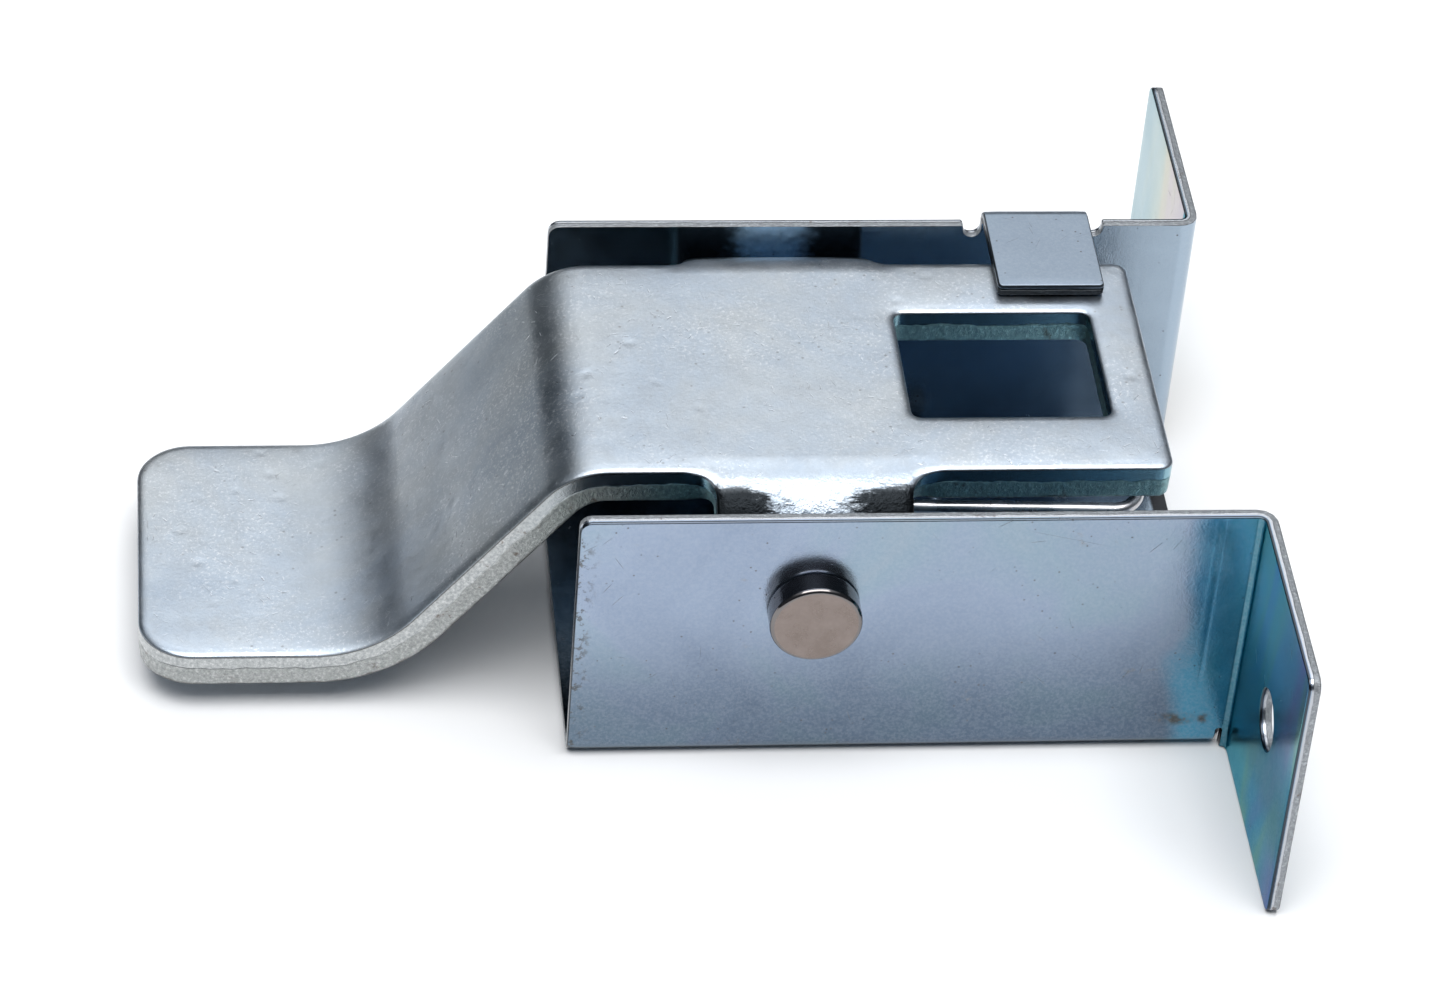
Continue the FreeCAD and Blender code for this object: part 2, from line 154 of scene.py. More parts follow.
# ---- places in the bracket's flat blank: u runs along the channel, v across it and up the walls ----
FOLD_START = HALF_WIDTH - BEND_OUTER  # v where the floor's fold begins
FOLD_END = FOLD_START + FOLD_LENGTH
EAR_FOLD = BRACKET_HIGH.x - BEND_OUTER  # u where the ear's fold begins
TAB_FOLD = FOLD_END + BRACKET_HIGH.z - FLOOR - 2 * BEND_OUTER
BLANK_EAR_LOW = FOLD_END - BEND_OUTER
BLANK_TOP = FOLD_END + WALL_TOP - FLOOR - BEND_OUTER
BLANK_EAR_TIP = EAR_FOLD + FOLD_LENGTH + BRACKET_HIGH.y - HALF_WIDTH - BEND_INNER
BLANK_TAB_TIP = TAB_FOLD + FOLD_LENGTH + HALF_WIDTH - BEND_OUTER - TAB_TIP
RELIEF_MIDDLE = EAR_FOLD - RELIEF_WIDTH / 2
DIE_MARK = -5.0  # the folding tool leaves a faint line across the wall here
DIE_MARK_WIDTH = 0.25
DIE_MARK_DEPTH = 0.012

# ---- places along the lever's flat blank ----
CATCH_MIDDLE = LEVER_HIGH.z - PLATE / 2
TONGUE_MIDDLE = TONGUE_TOP - PLATE / 2
RAMP_SLOPE = math.atan2(CATCH_MIDDLE - TONGUE_MIDDLE, RAMP_HEAD - RAMP_FOOT)
HEAD_START = RAMP_HEAD + HEAD_RADIUS * math.tan(RAMP_SLOPE / 2)
FOOT_END = RAMP_FOOT - FOOT_RADIUS * math.tan(RAMP_SLOPE / 2)
HEAD_ARC = HEAD_RADIUS * RAMP_SLOPE
FOOT_ARC = FOOT_RADIUS * RAMP_SLOPE
RAMP_SPAN = math.hypot(CATCH_MIDDLE - TONGUE_MIDDLE, RAMP_HEAD - RAMP_FOOT)
RAMP_LENGTH = RAMP_SPAN - (HEAD_RADIUS + FOOT_RADIUS) * math.tan(RAMP_SLOPE / 2)
BLANK_LEFT = HEAD_START - HEAD_ARC - RAMP_LENGTH - FOOT_ARC - (FOOT_END - LEVER_LOW.x)
LUG_BEND_START = LEVER_HIGH.y - PLATE / 2 - LUG_BEND
LUG_BEND_END = LUG_BEND_START + LUG_BEND * math.pi / 2
BLANK_PIN = LUG_BEND_END + CATCH_MIDDLE - LUG_BEND - HINGE.z

TINY = 1e-6
RIM_CHUNK = 200  # rim points that are measured at once
SPOT_MARGIN = 0.6  # of the grid's step, that its points keep clear of the rim
PROBE = 0.001  # step for measuring slopes
ROLLOVER_STEPS = 8
BRACKET_STEP = 0.6  # between points along the outlines
LEVER_STEP = 0.45
WIRE_STEP = 0.4
COIL_STEPS = 160
PIN_SEGMENTS = 96
TEAR_GRAIN = ((0.9, 0.35, 3.7), (2.3, 1.1, 9.1))  # noise scales along and across the edge, and seeds
WAVE_HEIGHT = 0.025
WAVE_LENGTH = 17
WAVE_BREADTH = 13


# ---- outlines ----

def corner_arc(before, corner, after, radius, step):
    """Points of the arc that rounds a corner, or the corner alone if its radius is 0."""
    corner = Vector(corner)
    if radius == 0:
        return [corner]
    arms = [(Vector(end) - corner).normalized() for end in (before, after)]
    half = arms[0].angle(arms[1]) / 2
    bisector = (arms[0] + arms[1]).normalized()
    centre = corner + bisector * radius / math.sin(half)
    start = corner + arms[0] * radius / math.tan(half) - centre
    end = corner + arms[1] * radius / math.tan(half) - centre
    turn = math.pi - 2 * half
    count = max(4, math.ceil(turn * radius / step))
    return [centre + arc_step(start, end, turn, i / count) for i in range(count + 1)]


def arc_step(start, end, turn, share):
    """Point on the circle between two arms of equal length, by share of the turn between them."""
    return (start * math.sin((1 - share) * turn) + end * math.sin(share * turn)) / math.sin(turn)


def rounded_loop(corners, step):
    """Closed outline through (corner, radius) pairs, with points every step or so."""
    places = [place for place, _ in corners]
    arcs = [corner_arc(before, place, after, radius, step) for before, (place, radius), after
            in zip(places[-1:] + places, corners, places[1:] + places[:1])]
    points = []
    for arc, following in zip(arcs, arcs[1:] + arcs[:1]):
        start, end = arc[-1], following[0]
        pieces = math.ceil((end - start).length / step - TINY)
        points += arc[:-1] if (end - start).length < TINY else arc
        points += [start.lerp(end, k / pieces) for k in range(1, pieces)]
    return points


def circle(count):
    """Angles that part a full turn evenly."""
    return [2 * math.pi * i / count for i in range(count)]


def hole(u, v, radius, step):
    """Round hole, running clockwise, as the holes of an outline do."""
    count = max(24, math.ceil(2 * math.pi * radius / step))
    return [Vector((u + radius * math.cos(a), v - radius * math.sin(a))) for a in circle(count)]


def quads(here, there, count):
    """Faces between two closed rings of points, from the numbers of their first points."""
    return [[here + (k + 1) % count, here + k, there + k, there + (k + 1) % count] for k in range(count)]


def inward(loop):
    """Unit vectors at a loop's points, towards its material."""
    result = []
    for i, point in enumerate(loop):
        way = loop[(i + 1) % len(loop)] - loop[i - 1]
        result.append(Vector((-way.y, way.x)).normalized())
    return result


def lengths_along(loop):
    """Distance of each point from the first, along the loop."""
    result = [0.0]
    for i in range(1, len(loop)):
        result.append(result[-1] + (loop[i] - loop[i - 1]).length)
    return result


def stations(stops, steps):
    """Values that run through the stops, with a step of its own in each stretch."""
    values = [stops[0]]
    for low, high, step in zip(stops, stops[1:], steps):
        count = max(1, round((high - low) / step))
        values += [low + (high - low) * k / count for k in range(1, count + 1)]
    return values


def both_sides(values):
    """Values from 0 up, with their negatives before them."""
    return [-value for value in reversed(values[1:])] + values


def inside(points, loops):
    """Which points lie inside the outline and outside its holes."""
    hits = np.zeros(len(points), int)
    x, y = points[:, 0], points[:, 1]
    for loop in loops:
        ends = np.array(loop)
        for (x0, y0), (x1, y1) in zip(ends, np.roll(ends, -1, axis=0)):
            if y0 != y1:
                crosses = (y0 > y) != (y1 > y)
                hits += crosses & (x < x0 + (y - y0) * (x1 - x0) / (y1 - y0))
    return hits % 2 == 1


def clear_spots(loops, us, vs, margin):
    """Grid points inside the outline that keep a margin from it."""
    grid = np.array([(u, v) for u in us for v in vs])
    grid = grid[inside(grid, loops)]
    rim = np.array([tuple(p) for loop in loops for p in loop])
    far = np.ones(len(grid), bool)
    for start in range(0, len(rim), RIM_CHUNK):
        gaps = np.linalg.norm(grid[:, None] - rim[None, start:start + RIM_CHUNK], axis=2)
        far &= gaps.min(axis=1) > margin
    return [Vector(p) for p in grid[far]]


def fill(loops, spots):
    """Triangles that fill the outline through the spots. Their indices run over the loops, then the spots."""
    points = [p for loop in loops for p in loop] + spots
    edges = []
    start = 0
    for loop in loops:
        edges += [(start + i, start + (i + 1) % len(loop)) for i in range(len(loop))]
        start += len(loop)
    _, _, faces, sources, _, _ = delaunay_2d_cdt(points, edges, [], 0, TINY, True)
    faces = [[sources[i][0] for i in face] for face in faces]
    result = []
    for patch in patches(faces, {frozenset(edge) for edge in edges}):
        largest = max(patch, key=lambda face: triangle_area(*(points[i] for i in face)))
        middle = sum((points[i] for i in largest), Vector((0, 0))) / 3
        if inside(np.array([tuple(middle)]), loops)[0]:
            result += patch
    return result


def triangle_area(a, b, c):
    return abs((b - a).cross(c - a)) / 2


def patches(faces, walls):
    """Faces in groups that the walls, which are edges, keep apart."""
    neighbours = {}
    for number, face in enumerate(faces):
        for i, j in zip(face, face[1:] + face[:1]):
            if frozenset((i, j)) not in walls:
                neighbours.setdefault(frozenset((i, j)), []).append(number)
    touching = [[] for _ in faces]
    for pair in neighbours.values():
        for number in pair:
            touching[number] += pair
    left = set(range(len(faces)))
    while left:
        queue = [left.pop()]
        group = []
        while queue:
            number = queue.pop()
            group.append(faces[number])
            found = left.intersection(touching[number])
            left -= found
            queue += found
        yield group


# ---- pressed sheet pieces ----

def sheared_profile(thickness, rollover, burnish, chamfer, layers):
    """Rows of (inset, depth, roughness, facing) down a sheared edge: drawn over, then smooth, then torn.

    rollover is the width and the drop of the rounding, and facing the angle that the surface has turned by,
    from straight up to straight out.
    """
    width, drop = rollover
    rows = []
    for i in range(ROLLOVER_STEPS + 1):
        angle = math.pi / 2 * i / ROLLOVER_STEPS
        facing = math.atan2(drop * math.sin(angle), width * math.cos(angle))
        rows.append((width * (1 - math.sin(angle)), drop * (1 - math.cos(angle)), 0, facing))
    rows.append((0, burnish, 0, math.pi / 2))
    for i in range(1, layers + 1):
        share = i / layers
        depth = burnish + (thickness - chamfer - burnish) * share
        rows.append((0.3 * chamfer * share ** 2, depth, min(1, share * 3), None))
    rows.append((chamfer * 1.3, thickness, 0.3, math.pi))
    return rows


def pressed(name, loops, place, profile, us, vs, tear, dish):
    """Sheet piece with the given flat outline, put in place by a function of its two flat axes and its depth.

    tear is how deep the torn part of a sheared edge is pitted, and dish the depth and the width of the strip
    that the shears have drawn down along the upper face. Faces get slot 0, and sheared edges slot 1.
    """
    profile = [drawn_down(row, dish) if row[3] is not None and row[3] < math.pi / 2 else row
               for row in profile]
    counts = [len(loop) for loop in loops]
    total = sum(counts)
    thickness = profile[-1][1]
    points, facings, depths, alongs = [], [], [], []
    rings = []
    for inset, depth, rough, facing in profile:
        ring = []
        for loop in loops:
            runs = lengths_along(loop)
            ways = inward(loop)
            moved = [point + way * (inset + tear * rough * tear_noise(run, depth))
                     for point, way, run in zip(loop, ways, runs)]
            ring.append(moved)
            for spot, way in zip(moved, ways):
                points.append(place(spot.x, spot.y, depth))
                if facing is None:
                    facings.append(None)
                    continue
                local = (-way * math.sin(facing)).to_3d() - Vector((0, 0, math.cos(facing)))
                facings.append(turned(place, spot, depth, local))
            depths += [depth / thickness] * len(loop)
            alongs += runs
        rings.append(ring)
    faces, slots = [], []
    start = 0
    for count in counts:
        for level in range(len(profile) - 1):
            faces += quads(level * total + start, (level + 1) * total + start, count)
            slots += [int(level >= ROLLOVER_STEPS)] * count
        start += count
    margin = min(abs(b - a) for a, b in zip(us, us[1:])) * SPOT_MARGIN
    for ring, first, flip in ((rings[0], 0, False), (rings[-1], len(rings) - 1, True)):
        spots = clear_spots(ring, us, vs, margin)
        base = len(points)
        ways, gaps = away_from_rim(spots, loops)
        for spot, way, gap in zip(spots, ways, gaps):
            depth, lean = (thickness, 0) if flip else dished(gap, dish)
            points.append(place(spot.x, spot.y, depth))
            local = Vector((-way.x * lean, -way.y * lean, 1 if flip else -1))
            facings.append(turned(place, spot, depth, local))
            depths.append(depth / thickness)
        alongs += [0.0] * len(spots)
        for face in fill(ring, spots):
            indices = [first * total + i if i < total else base + i - total for i in face]
            faces.append(indices[::-1] if flip else indices)
            slots.append(0)
    middle = Vector(loops[0][0])
    if place_volume(place, middle) > 0:
        faces = [face[::-1] for face in faces]
    piece = mesh_piece(name, points, faces, slots)
    floats(piece, "depth", depths)
    floats(piece, "along", alongs)
    own = [v.vector.copy() for v in piece.data.vertex_normals]
    piece.data.normals_split_custom_set_from_vertices([a or b for a, b in zip(facings, own)])
    return piece


def slopes(place, spot, depth):
    """How a placed point moves as its u, v and depth grow."""
    probes = ((PROBE, 0, 0), (0, PROBE, 0), (0, 0, PROBE))
    return [place(spot.x + u, spot.y + v, depth + d) - place(spot.x - u, spot.y - v, depth - d)
            for u, v, d in probes]


def place_volume(place, spot):
    """Positive if u, v and depth are right-handed where they are placed."""
    along_u, along_v, along_d = slopes(place, spot, 0)
    return along_u.cross(along_v).dot(along_d)


def turned(place, spot, depth, local):
    """Direction in space of a surface that faces a direction in the flat blank (u, v, depth)."""
    along_u, along_v, along_d = slopes(place, spot, depth)
    cofactors = (along_v.cross(along_d), along_d.cross(along_u), along_u.cross(along_v))
    way = sum((c * l for c, l in zip(cofactors, local)), Vector())
    return way.normalized() * (1 if along_u.dot(cofactors[0]) > 0 else -1)


def dished(gap, dish):
    """How far the upper face is drawn down at a distance from the rim, and how steeply."""
    depth, width = dish
    rest = max(0, 1 - gap / width)
    return depth * rest ** 3, 3 * depth / width * rest ** 2


def drawn_down(row, dish):
    """A row of the rounding, lowered with the face beside it."""
    inset, depth, rough, facing = row
    sunk, lean = dished(inset, dish)
    return inset, depth + sunk, rough, min(math.pi / 2, facing + math.atan(lean))


def away_from_rim(spots, loops):
    """Direction from the nearest point of the rim and the distance from it, for each spot."""
    rim = np.array([tuple(p) for loop in loops for p in loop])
    ways, gaps = [], []
    for spot in spots:
        offsets = np.array(spot) - rim
        reach = np.hypot(offsets[:, 0], offsets[:, 1])
        nearest = int(reach.argmin())
        gaps.append(float(reach[nearest]))
        ways.append(Vector(offsets[nearest]) / gaps[-1])
    return ways, gaps


def tear_noise(run, depth):
    """Pits from 0 to 1, narrow along the edge and long across it."""
    coarse, fine = (noise.noise(Vector((run * along, depth * across, seed)))
                    for along, across, seed in TEAR_GRAIN)
    return 0.5 + 0.5 * max(-1, min(1, coarse + 0.7 * fine))


def mesh_piece(name, points, faces, slots=None):
    """Smooth-shaded mesh object from points in millimetres."""
    mesh = bpy.data.meshes.new(name)
    mesh.from_pydata([Vector(p) * MM for p in points], [], faces)
    mesh.shade_smooth()
    if slots:
        mesh.polygons.foreach_set("material_index", slots)
    mesh.update()
    piece = bpy.data.objects.new(name, mesh)
    bpy.context.scene.collection.objects.link(piece)
    return piece


def floats(piece, name, values):
    """Store one number per point, for the materials."""
    piece.data.attributes.new(name, "FLOAT", "POINT").data.foreach_set("value", values)


def weigh_normals(piece):
    """Shade large faces flat and leave the rounding to the small ones beside them."""
    modifier = piece.modifiers.new("normals", "WEIGHTED_NORMAL")
    modifier.weight = 70
    modifier.keep_sharp = True


# ---- bracket ----

def bracket_point(u, v, depth):
    """Where a spot of the bracket's blank lies once folded. depth runs in from the outer face."""
    side = 1 if v > 0 else -1
    across = abs(v)
    ear = u > RELIEF_MIDDLE and across > (FOLD_START + BLANK_EAR_LOW) / 2
    if across <= FOLD_START and not ear:
        return Vector((u, v, FLOOR + depth))
    if across < FOLD_END and not ear:
        angle = (across - FOLD_START) / BEND_MIDDLE
        radius = BEND_OUTER - depth
        return Vector((u, side * (FOLD_START + radius * math.sin(angle)),
                       FLOOR + BEND_OUTER - radius * math.cos(angle)))
    height = FLOOR + BEND_OUTER + across - FOLD_END
    if u <= EAR_FOLD:
        margin = NOTCH_WIDTH / 2
        if side > 0 and TAB_LEFT - margin < u < TAB_RIGHT + margin and across > TAB_FOLD:
            return tab_point(u, across - TAB_FOLD, depth)
        sunk = depth + wall_wave(u, v) + die_mark(u) * (1 - depth / SHEET) * eased((across - FOLD_END) / 2)
        return Vector((u, side * (HALF_WIDTH - sunk), height))
    angle = min((u - EAR_FOLD) / BEND_MIDDLE, math.pi / 2)
    radius = BEND_INNER + depth
    reach = BEND_INNER - radius * math.cos(angle) + max(0, u - EAR_FOLD - FOLD_LENGTH)
    reach -= (1 - eased((u - EAR_FOLD) / FOLD_LENGTH)) * wall_wave(u, v)
    return Vector((EAR_FOLD + radius * math.sin(angle), side * (HALF_WIDTH + reach), height))


def tab_point(u, run, depth):
    """The same on the stop tab; run is the distance past the start of its fold."""
    angle = min(run / BEND_MIDDLE, math.pi / 2)
    radius = BEND_OUTER - depth
    flat = max(0, run - FOLD_LENGTH)
    return Vector((u, HALF_WIDTH - BEND_OUTER + radius * math.cos(angle) - flat,
                   BRACKET_HIGH.z - BEND_OUTER + radius * math.sin(angle)))


def eased(share):
    """0 up to share 0, 1 from share 1, and smooth between them."""
    share = min(1, max(0, share))
    return share * share * (3 - 2 * share)


def wall_wave(u, v):
    """Slight unevenness of the rolled sheet, never outwards. It dies out at the folds."""
    across = abs(v)
    near_tab = eased((max(TAB_LEFT - u, u - TAB_RIGHT) - 1) / 4) if v > 0 else 1
    still = eased((across - FOLD_END) / 6) * max(near_tab, eased((TAB_FOLD - 1 - across) / 5))
    return WAVE_HEIGHT * still * (1 + noise.noise(Vector((u / WAVE_LENGTH, v / WAVE_BREADTH, 5.2))))


def die_mark(u):
    return DIE_MARK_DEPTH * math.exp(-((u - DIE_MARK) / DIE_MARK_WIDTH) ** 2)


def bracket_outline(step):
    """Blank of the bracket, counterclockwise."""
    low = FOLD_START
    slit_left = EAR_FOLD - RELIEF_WIDTH
    slit_top = FOLD_END + RELIEF_HEIGHT - BEND_OUTER
    notch = BLANK_TOP - NOTCH_DEPTH
    foot = [((-FLOOR_END, low), FLOOR_CORNER), ((slit_left, low), 0),
            ((slit_left, slit_top), RELIEF_CORNER), ((EAR_FOLD, slit_top), RELIEF_CORNER),
            ((EAR_FOLD, BLANK_EAR_LOW), 0), ((BLANK_EAR_TIP, BLANK_EAR_LOW), EAR_CORNER),
            ((BLANK_EAR_TIP, BLANK_TOP), EAR_CORNER)]
    tab = [((TAB_RIGHT + NOTCH_WIDTH, BLANK_TOP), NOTCH_EDGE),
           ((TAB_RIGHT + NOTCH_WIDTH, notch), NOTCH_WIDTH / 2),
           ((TAB_RIGHT, notch), NOTCH_WIDTH / 2), ((TAB_RIGHT, BLANK_TAB_TIP), TAB_CORNER)]
    tab += [((TAB_LEFT + TAB_RIGHT - u, v), radius) for (u, v), radius in reversed(tab)]
    end = [((BRACKET_LOW.x, BLANK_TOP), WALL_CORNER)]
    mirrored = [((u, -v), radius) for (u, v), radius in reversed(foot + end)]
    return rounded_loop(foot + tab + end + mirrored, step)


def build_bracket():
    ear_hole_u = EAR_FOLD + FOLD_LENGTH + EAR_HOLE_Y - HALF_WIDTH - BEND_INNER
    ear_hole_v = FOLD_END - FLOOR - BEND_OUTER
    pin_v = FOLD_END + HINGE.z - FLOOR - BEND_OUTER
    loops = [bracket_outline(BRACKET_STEP)]
    loops += [hole(ear_hole_u, side * ear_hole_v, EAR_HOLE, BRACKET_STEP / 2) for side in (-1, 1)]
    loops += [hole(HINGE.x, side * pin_v, WALL_HOLE, BRACKET_STEP / 2) for side in (-1, 1)]
    us = stations([BRACKET_LOW.x, DIE_MARK - 1, EAR_FOLD, EAR_FOLD + FOLD_LENGTH, BLANK_EAR_TIP],
                  [1.4, 0.3, 0.2, 1.4])
    vs = both_sides(stations([0, FOLD_START, FOLD_END, TAB_FOLD, TAB_FOLD + FOLD_LENGTH, BLANK_TAB_TIP],
                             [1.5, 0.2, 1.4, 0.2, 1.4]))
    profile = sheared_profile(SHEET, rollover=(0.2, 0.38), burnish=0.7, chamfer=0.05, layers=4)
    return pressed("bracket_sheet", loops, bracket_point, profile, us, vs, tear=0.03, dish=(0.03, 1.6))


# ---- lever ----

def lever_line(u):
    """Middle of the plate at a place along the blank, and the plate's tilt there."""
    run = HEAD_START - u
    if run <= 0:
        return u, CATCH_MIDDLE, 0.0
    if run < HEAD_ARC:
        angle = run / HEAD_RADIUS
        return (HEAD_START - HEAD_RADIUS * math.sin(angle),
                CATCH_MIDDLE - HEAD_RADIUS * (1 - math.cos(angle)), angle)
    run -= HEAD_ARC
    x = HEAD_START - HEAD_RADIUS * math.sin(RAMP_SLOPE)
    z = CATCH_MIDDLE - HEAD_RADIUS * (1 - math.cos(RAMP_SLOPE))
    if run < RAMP_LENGTH:
        return x - run * math.cos(RAMP_SLOPE), z - run * math.sin(RAMP_SLOPE), RAMP_SLOPE
    run -= RAMP_LENGTH
    if run < FOOT_ARC:
        angle = RAMP_SLOPE - run / FOOT_RADIUS
        return (FOOT_END + FOOT_RADIUS * math.sin(angle),
                TONGUE_MIDDLE + FOOT_RADIUS * (1 - math.cos(angle)), angle)
    return FOOT_END - (run - FOOT_ARC), TONGUE_MIDDLE, 0.0


def lug_share(u):
    """1 over a lug, falling smoothly to 0 in the plate beside it."""
    return 1 - eased((abs(u - HINGE.x) - LUG_HALF) / LUG_SPREAD)


def lever_point(u, v, depth):
    """Where a spot of the lever's blank lies once bent; depth runs down from the upper face."""
    rise = PLATE / 2 - depth
    side = 1 if v > 0 else -1
    past = abs(v) - LUG_BEND_START
    share = lug_share(u)
    if share == 0 or past <= 0:
        x, z, tilt = lever_line(u)
        return Vector((x - rise * math.sin(tilt), v, z + rise * math.cos(tilt)))
    arc = min(past, LUG_BEND * math.pi / 2)
    angle = share * arc / LUG_BEND
    radius = LUG_BEND / share
    straight = past - arc
    y = LUG_BEND_START + radius * math.sin(angle) + straight * math.cos(angle)
    z = CATCH_MIDDLE - radius * (1 - math.cos(angle)) - straight * math.sin(angle)
    return Vector((u, side * (y + rise * math.sin(angle)), z + rise * math.cos(angle)))


def lever_outline(step):
    lug_end = BLANK_PIN + LUG_HALF
    left, right = HINGE.x - LUG_HALF, HINGE.x + LUG_HALF
    low = [((BLANK_LEFT, -LEVER_HALF), TONGUE_CORNER), ((left, -LEVER_HALF), LUG_ROOT),
           ((left, -lug_end), LUG_HALF), ((right, -lug_end), LUG_HALF),
           ((right, -LEVER_HALF), LUG_ROOT), ((LEVER_HIGH.x, -LEVER_HALF), CATCH_CORNER)]
    return rounded_loop(low + [((u, -v), radius) for (u, v), radius in reversed(low)], step)


def window_loop(step):
    corners = [(WINDOW_LEFT, -WINDOW_HALF), (WINDOW_LEFT, WINDOW_HALF),
               (WINDOW_RIGHT, WINDOW_HALF), (WINDOW_RIGHT, -WINDOW_HALF)]
    return rounded_loop([(corner, WINDOW_CORNER) for corner in corners], step)


def build_lever():
    loops = [lever_outline(LEVER_STEP), window_loop(LEVER_STEP)]
    loops += [hole(HINGE.x, side * BLANK_PIN, LUG_HOLE, LEVER_STEP / 2) for side in (-1, 1)]
    us = stations([BLANK_LEFT, HEAD_START, LEVER_HIGH.x], [0.75, 0.8])
    lug_end = BLANK_PIN + LUG_HALF
    vs = both_sides(stations([0, LUG_BEND_START, LUG_BEND_END, lug_end], [0.8, 0.5, 0.8]))
    profile = sheared_profile(PLATE, rollover=(1.1, 0.36), burnish=1.8, chamfer=0.12, layers=8)
    return pressed("lever_plate", loops, lever_point, profile, us, vs, tear=0.09, dish=(0.16, 4.5))


# ---- turned and bent pieces ----

def about_pin(radius, angle, y):
    return Vector((HINGE.x + radius * math.cos(angle), y, HINGE.z + radius * math.sin(angle)))


def lathe(name, rows, segments):
    """Solid turned about the hinge's axis from (radius, y) rows that start and end on it."""
    points = [(HINGE.x, rows[0][1], HINGE.z)]
    for radius, y in rows[1:-1]:
        points += [about_pin(radius, a, y) for a in circle(segments)]
    points.append((HINGE.x, rows[-1][1], HINGE.z))
    faces = [[0, 1 + k, 1 + (k + 1) % segments] for k in range(segments)]
    last = 1 + (len(rows) - 3) * segments
    for start in range(1, last, segments):
        faces += quads(start, start + segments, segments)
    faces += [[last + (k + 1) % segments, last + k, len(points) - 1] for k in range(segments)]
    return mesh_piece(name, points, faces)


def quarter(centre_r, centre_y, radius, start, end, count):
    """Points of a rounding in a lathe profile, between two angles."""
    return [(centre_r + radius * math.cos(a), centre_y + radius * math.sin(a))
            for a in (start + (end - start) * i / count for i in range(count + 1))]


def build_pin():
    face, end = PIN_LOW.y, PIN_HIGH.y
    head = (PIN_HIGH.x - PIN_LOW.x) / 2
    groove = HALF_WIDTH + GROOVE_GAP
    rows = [(0, face), (1.2, face), (2.6, face), (head - PIN_RIM - 0.15, face)]
    rows += quarter(head - PIN_RIM, face + PIN_RIM, PIN_RIM, -math.pi / 2, 0, 10)
    rows += quarter(head - PIN_NECK, -HALF_WIDTH - PIN_NECK, PIN_NECK, 0, math.pi / 2, 6)
    rows += [(PIN_RADIUS, -HALF_WIDTH), (PIN_RADIUS, groove), (GROOVE_RADIUS, groove),
             (GROOVE_RADIUS, groove + GROOVE_WIDTH), (PIN_RADIUS, groove + GROOVE_WIDTH),
             (PIN_RADIUS, end - PIN_CHAMFER), (PIN_RADIUS - PIN_CHAMFER, end), (0, end)]
    piece = lathe("pivot_pin_turned", rows, PIN_SEGMENTS)
    bevel = piece.modifiers.new("edges", "BEVEL")
    bevel.width = 0.06 * MM
    bevel.segments = 2
    bevel.angle_limit = math.radians(40)
    weigh_normals(piece)
    return piece


def ring_outline(step):
    """E-shaped ring, seen along the hinge's axis: u is X and v is Z, from the pin's middle."""
    outer = (RING_HIGH.x - RING_LOW.x) / 2
    mouth = -math.pi / 2
    opening = math.asin(RING_MOUTH / outer)
    points = arc_points(outer, mouth + opening, mouth + 2 * math.pi - opening, step)
    inner_mouth = math.asin(RING_MOUTH / RING_HOLLOW)
    start = mouth + 2 * math.pi - inner_mouth
    for prong in (math.pi, math.pi / 2, 0):
        wide = math.asin(RING_PRONG / RING_HOLLOW)
        tight = math.asin(RING_PRONG / GROOVE_RADIUS)
        points += arc_points(RING_HOLLOW, start, prong + wide, step)
        points += arc_points(GROOVE_RADIUS, prong + tight, prong - tight, step)
        start = prong - wide
    return points + arc_points(RING_HOLLOW, start, mouth + inner_mouth, step)


def arc_points(radius, start, end, step):
    count = max(2, math.ceil(abs(end - start) * radius / step))
    return [Vector((radius * math.cos(a), radius * math.sin(a)))
            for a in (start + (end - start) * i / count for i in range(count + 1))]


def build_ring():
    """The ring is stamped, so it is a pressed piece like the others."""
    thickness = RING_HIGH.y - RING_LOW.y
    low = RING_LOW.y

    def place(u, v, depth):
        return Vector((HINGE.x + u, low + thickness - depth, HINGE.z + v))

    reach = RING_HIGH.x - HINGE.x
    grid = stations([-reach, reach], [0.5])
    profile = sheared_profile(thickness, rollover=(0.1, 0.08), burnish=0.3, chamfer=0.03, layers=2)
    return pressed("retaining_ring_stamped", [ring_outline(0.3)], place, profile, grid, grid,
                   tear=0.01, dish=(0.0, 1.0))


# ---- spring ----

def bent_path(corners, radii, step):
    """Points of a wire's centre line through corners in space, with an arc at each inner corner."""
    points = [corners[0]]
    for before, corner, after, radius in zip(corners, corners[1:], corners[2:], radii):
        points += corner_arc(before, corner, after, radius, step)
    if (points[-1] - corners[-1]).length > TINY:
        points.append(corners[-1])
    return points


def tube(name, path, radius, sides=20):
    """Round wire along a path, closed at both ends."""
    points, faces = [], []
    normal = None
    for i, spot in enumerate(path):
        way = (path[min(i + 1, len(path) - 1)] - path[max(i - 1, 0)]).normalized()
        normal = way.orthogonal() if normal is None else normal - way * normal.dot(way)
        normal.normalize()
        other = way.cross(normal)
        points += [spot + radius * (normal * math.cos(a) + other * math.sin(a)) for a in circle(sides)]
    last = (len(path) - 1) * sides
    for start in range(0, last, sides):
        faces += quads(start + sides, start, sides)
    faces.append(list(range(sides))[::-1])
    faces.append([last + k for k in range(sides)])
    return mesh_piece(name, points, faces)


def leg_slope():
    """Slope of a spring's leg from its coil's underside down to the floor."""
    drop = HINGE.z - FLOOR - SHEET - WIRE
    slope = 0
    for _ in range(SLOPE_STEPS):
        run = FOOT_X - HINGE.x + COIL_RADIUS * math.sin(slope)
        slope = math.atan2(drop - COIL_RADIUS * math.cos(slope), run)
    return slope


